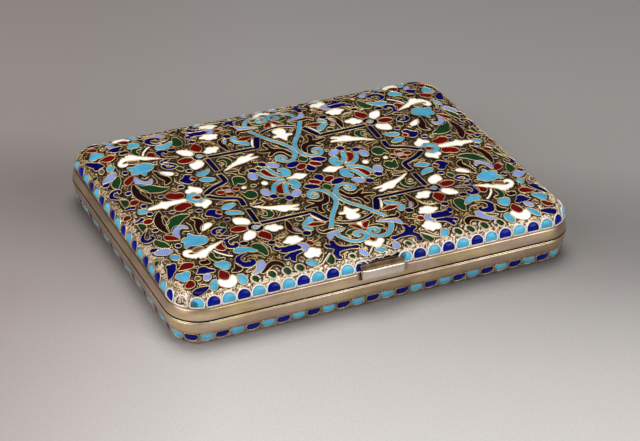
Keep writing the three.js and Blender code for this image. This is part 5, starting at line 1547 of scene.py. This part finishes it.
# For each half: steps of the ground, height and gap of the edge wire, and metals of edge and bead wires
SLOT_REACH = PUSH_WIDTH / 2 + PUSH_SIDE_CLEARANCE
SLOT_GAP = (PUSH_CENTRE_X - SLOT_REACH, PUSH_CENTRE_X + SLOT_REACH)
for half, body, step, edge_z, gap, edge_metal, bead_metal in (
        (LID, "lid", 0.3, BAND_TOP + 0.3, SLOT_GAP, WIRE, BEAD_METAL),
        (BASE, "base", 0.5, BAND_BOTTOM + 0.1, None, BASE_EDGE_LIT, BASE_BEAD_SHADED_METAL)):
    cells, wires, lines = lay_ornament(half)
    for colour, material, skin in zip(COLOURS, ENAMELS, cells):
        if skin.count:
            build(f"{body}_cells_{colour}", skin, material, body)
    build(f"{body}_cell_wires", wires, WIRE, body, [f"{body}_enamel_field"])
    build(f"{body}_matted_ground", lay_ground(half, lines, step), GROUND, body)
    dome, bead_wires, side_wires, bare = lay_beads(half)
    for colour, material, skin in zip(COLOURS, BEAD_ENAMELS, dome):
        build(f"{body}_beads_{colour}", skin, material, body)
    build(f"{body}_bead_wires", bead_wires, bead_metal, body, [f"{body}_bead_border"])
    build(f"{body}_side_bead_wires", side_wires, SIDE_BEAD_SHADED_METAL, body)
    build(f"{body}_bead_ground", lay_bead_ground(half), GROUND, body)
    if bare.count:
        build(f"{body}_bare_bead", bare, GROUND, body)
    build(f"{body}_twisted_edge", twisted_wire(edge_z, gap), edge_metal, body, [f"{body}_edge_wire"])

# Solids that stay as they are, each with its metal
for material, nodes in (
        (GILT_INSIDE, ["lid_hinge_bearer", "base_hinge_bearer", "spring_keeper_left", "spring_keeper_right",
                       "lid_strap_clip_left", "lid_strap_clip_right", "base_strap_clip_left",
                       "base_strap_clip_right", "catch_plate"]),
        (STEEL, ["catch_spring", "hinge_pin"])):
    for node in nodes:
        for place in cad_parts[node].material_slots:
            place.material = material


# Floor, light and view
FLOOR_SPAN = 0.15  # the shades run this far to both sides of the case
# Painted light and shade of the paper, by millimetres away from the camera
FLOOR_SHADES = [(-110, 208), (-80, 197), (-60, 187), (-40, 170), (-27, 155), (-16, 139), (-5, 127), (10, 122),
                (22, 127), (42, 139), (80, 138), (150, 128)]
FLOOR_TILT = 0.09  # how the shades run askew of the view
FLOOR_WIDTH, FLOOR_FRONT, FLOOR_BEND, FLOOR_TOP = 3.0, -2.0, 1.6, 1.6
BEND_RADIUS = 0.5
LAMPS = [  # name, place, size, power and colour
    ("key", (0.05, 0.18, 1.0), 0.7, 7.4, (1.0, 0.99, 0.97)),
    ("side", (0.6, -0.9, 0.6), 0.7, 4.6, (1.0, 0.99, 0.98)),
    ("fill", (-0.8, -0.25, 0.5), 1.0, 5.0, (1.0, 0.98, 0.98)),
]
WORLD_COLOUR, WORLD_STRENGTH = (0.4, 0.4, 0.41, 1), 0.5


def make_floor():
    """A sheet of paper that curves up behind, painted lighter in front and darker where it falls into shade,
    with a painted shadow towards its left front.
    """
    n = Nodes("studio_paper")
    cos, sin = math.cos(CAMERA_AZIMUTH), math.sin(CAMERA_AZIMUTH)
    away = (-sin + FLOOR_TILT * cos, cos + FLOOR_TILT * sin, 0)
    ahead = n.maths("DOT_PRODUCT", n.place, away, "VectorMath")
    tint = n.ramp(n.spread(ahead, -FLOOR_SPAN, FLOOR_SPAN),
                  [(0.5 + place * MM / (2 * FLOOR_SPAN), v, v - 3.5, v - 6) for place, v in FLOOR_SHADES])
    beside = n.maths("DOT_PRODUCT", n.place, (cos, sin, 0), "VectorMath")
    # Painted shade: a darker, pinkish patch of the paper towards the left front of the case.
    corner = n.maths("MULTIPLY", n.spread(beside, -0.02, -0.075), n.spread(ahead, -0.01, -0.04, 0.16, 0.42))
    tint = n.mix(corner, tint, srgb(106, 72, 72))
    grain = n.noise(1400.0, 3.0, 0.6)
    tint = n.mix(n.spread(grain, 0.42, 0.75, 0.0, 0.16), tint, srgb(120, 116, 112))
    n.set(Base_Color=tint, Roughness=0.92)
    rows = [(FLOOR_FRONT, 0.0), (FLOOR_BEND, 0.0)]
    rows += [(FLOOR_BEND + BEND_RADIUS * math.sin(a), BEND_RADIUS - BEND_RADIUS * math.cos(a))
             for a in np.linspace(0.1, math.pi / 2, 12)]
    rows.append((FLOOR_BEND + BEND_RADIUS, FLOOR_TOP))
    mesh = bpy.data.meshes.new("floor")
    mesh.from_pydata([(x, y, z) for y, z in rows for x in (-FLOOR_WIDTH, FLOOR_WIDTH)], [],
                     [(2 * i, 2 * i + 1, 2 * i + 3, 2 * i + 2) for i in range(len(rows) - 1)])
    mesh.materials.append(n.material)
    mesh.polygons.foreach_set("use_smooth", [True] * len(mesh.polygons))
    placed("floor", mesh)


make_floor()
for name, location, size, power, colour in LAMPS:
    data = bpy.data.lights.new(name, "AREA")
    data.shape, data.size, data.energy, data.color = "DISK", size, power, colour
    lamp = placed(name, data)
    lamp.location = location
    lamp.rotation_mode = "QUATERNION"
    lamp.rotation_quaternion = (-Vector(location)).to_track_quat("-Z", "Y")

world = bpy.data.worlds.new("studio")
bpy.context.scene.world = world
world.use_nodes = True
world.node_tree.nodes["Background"].inputs["Color"].default_value = WORLD_COLOUR
world.node_tree.nodes["Background"].inputs["Strength"].default_value = WORLD_STRENGTH
bpy.context.scene.view_settings.view_transform = "Standard"
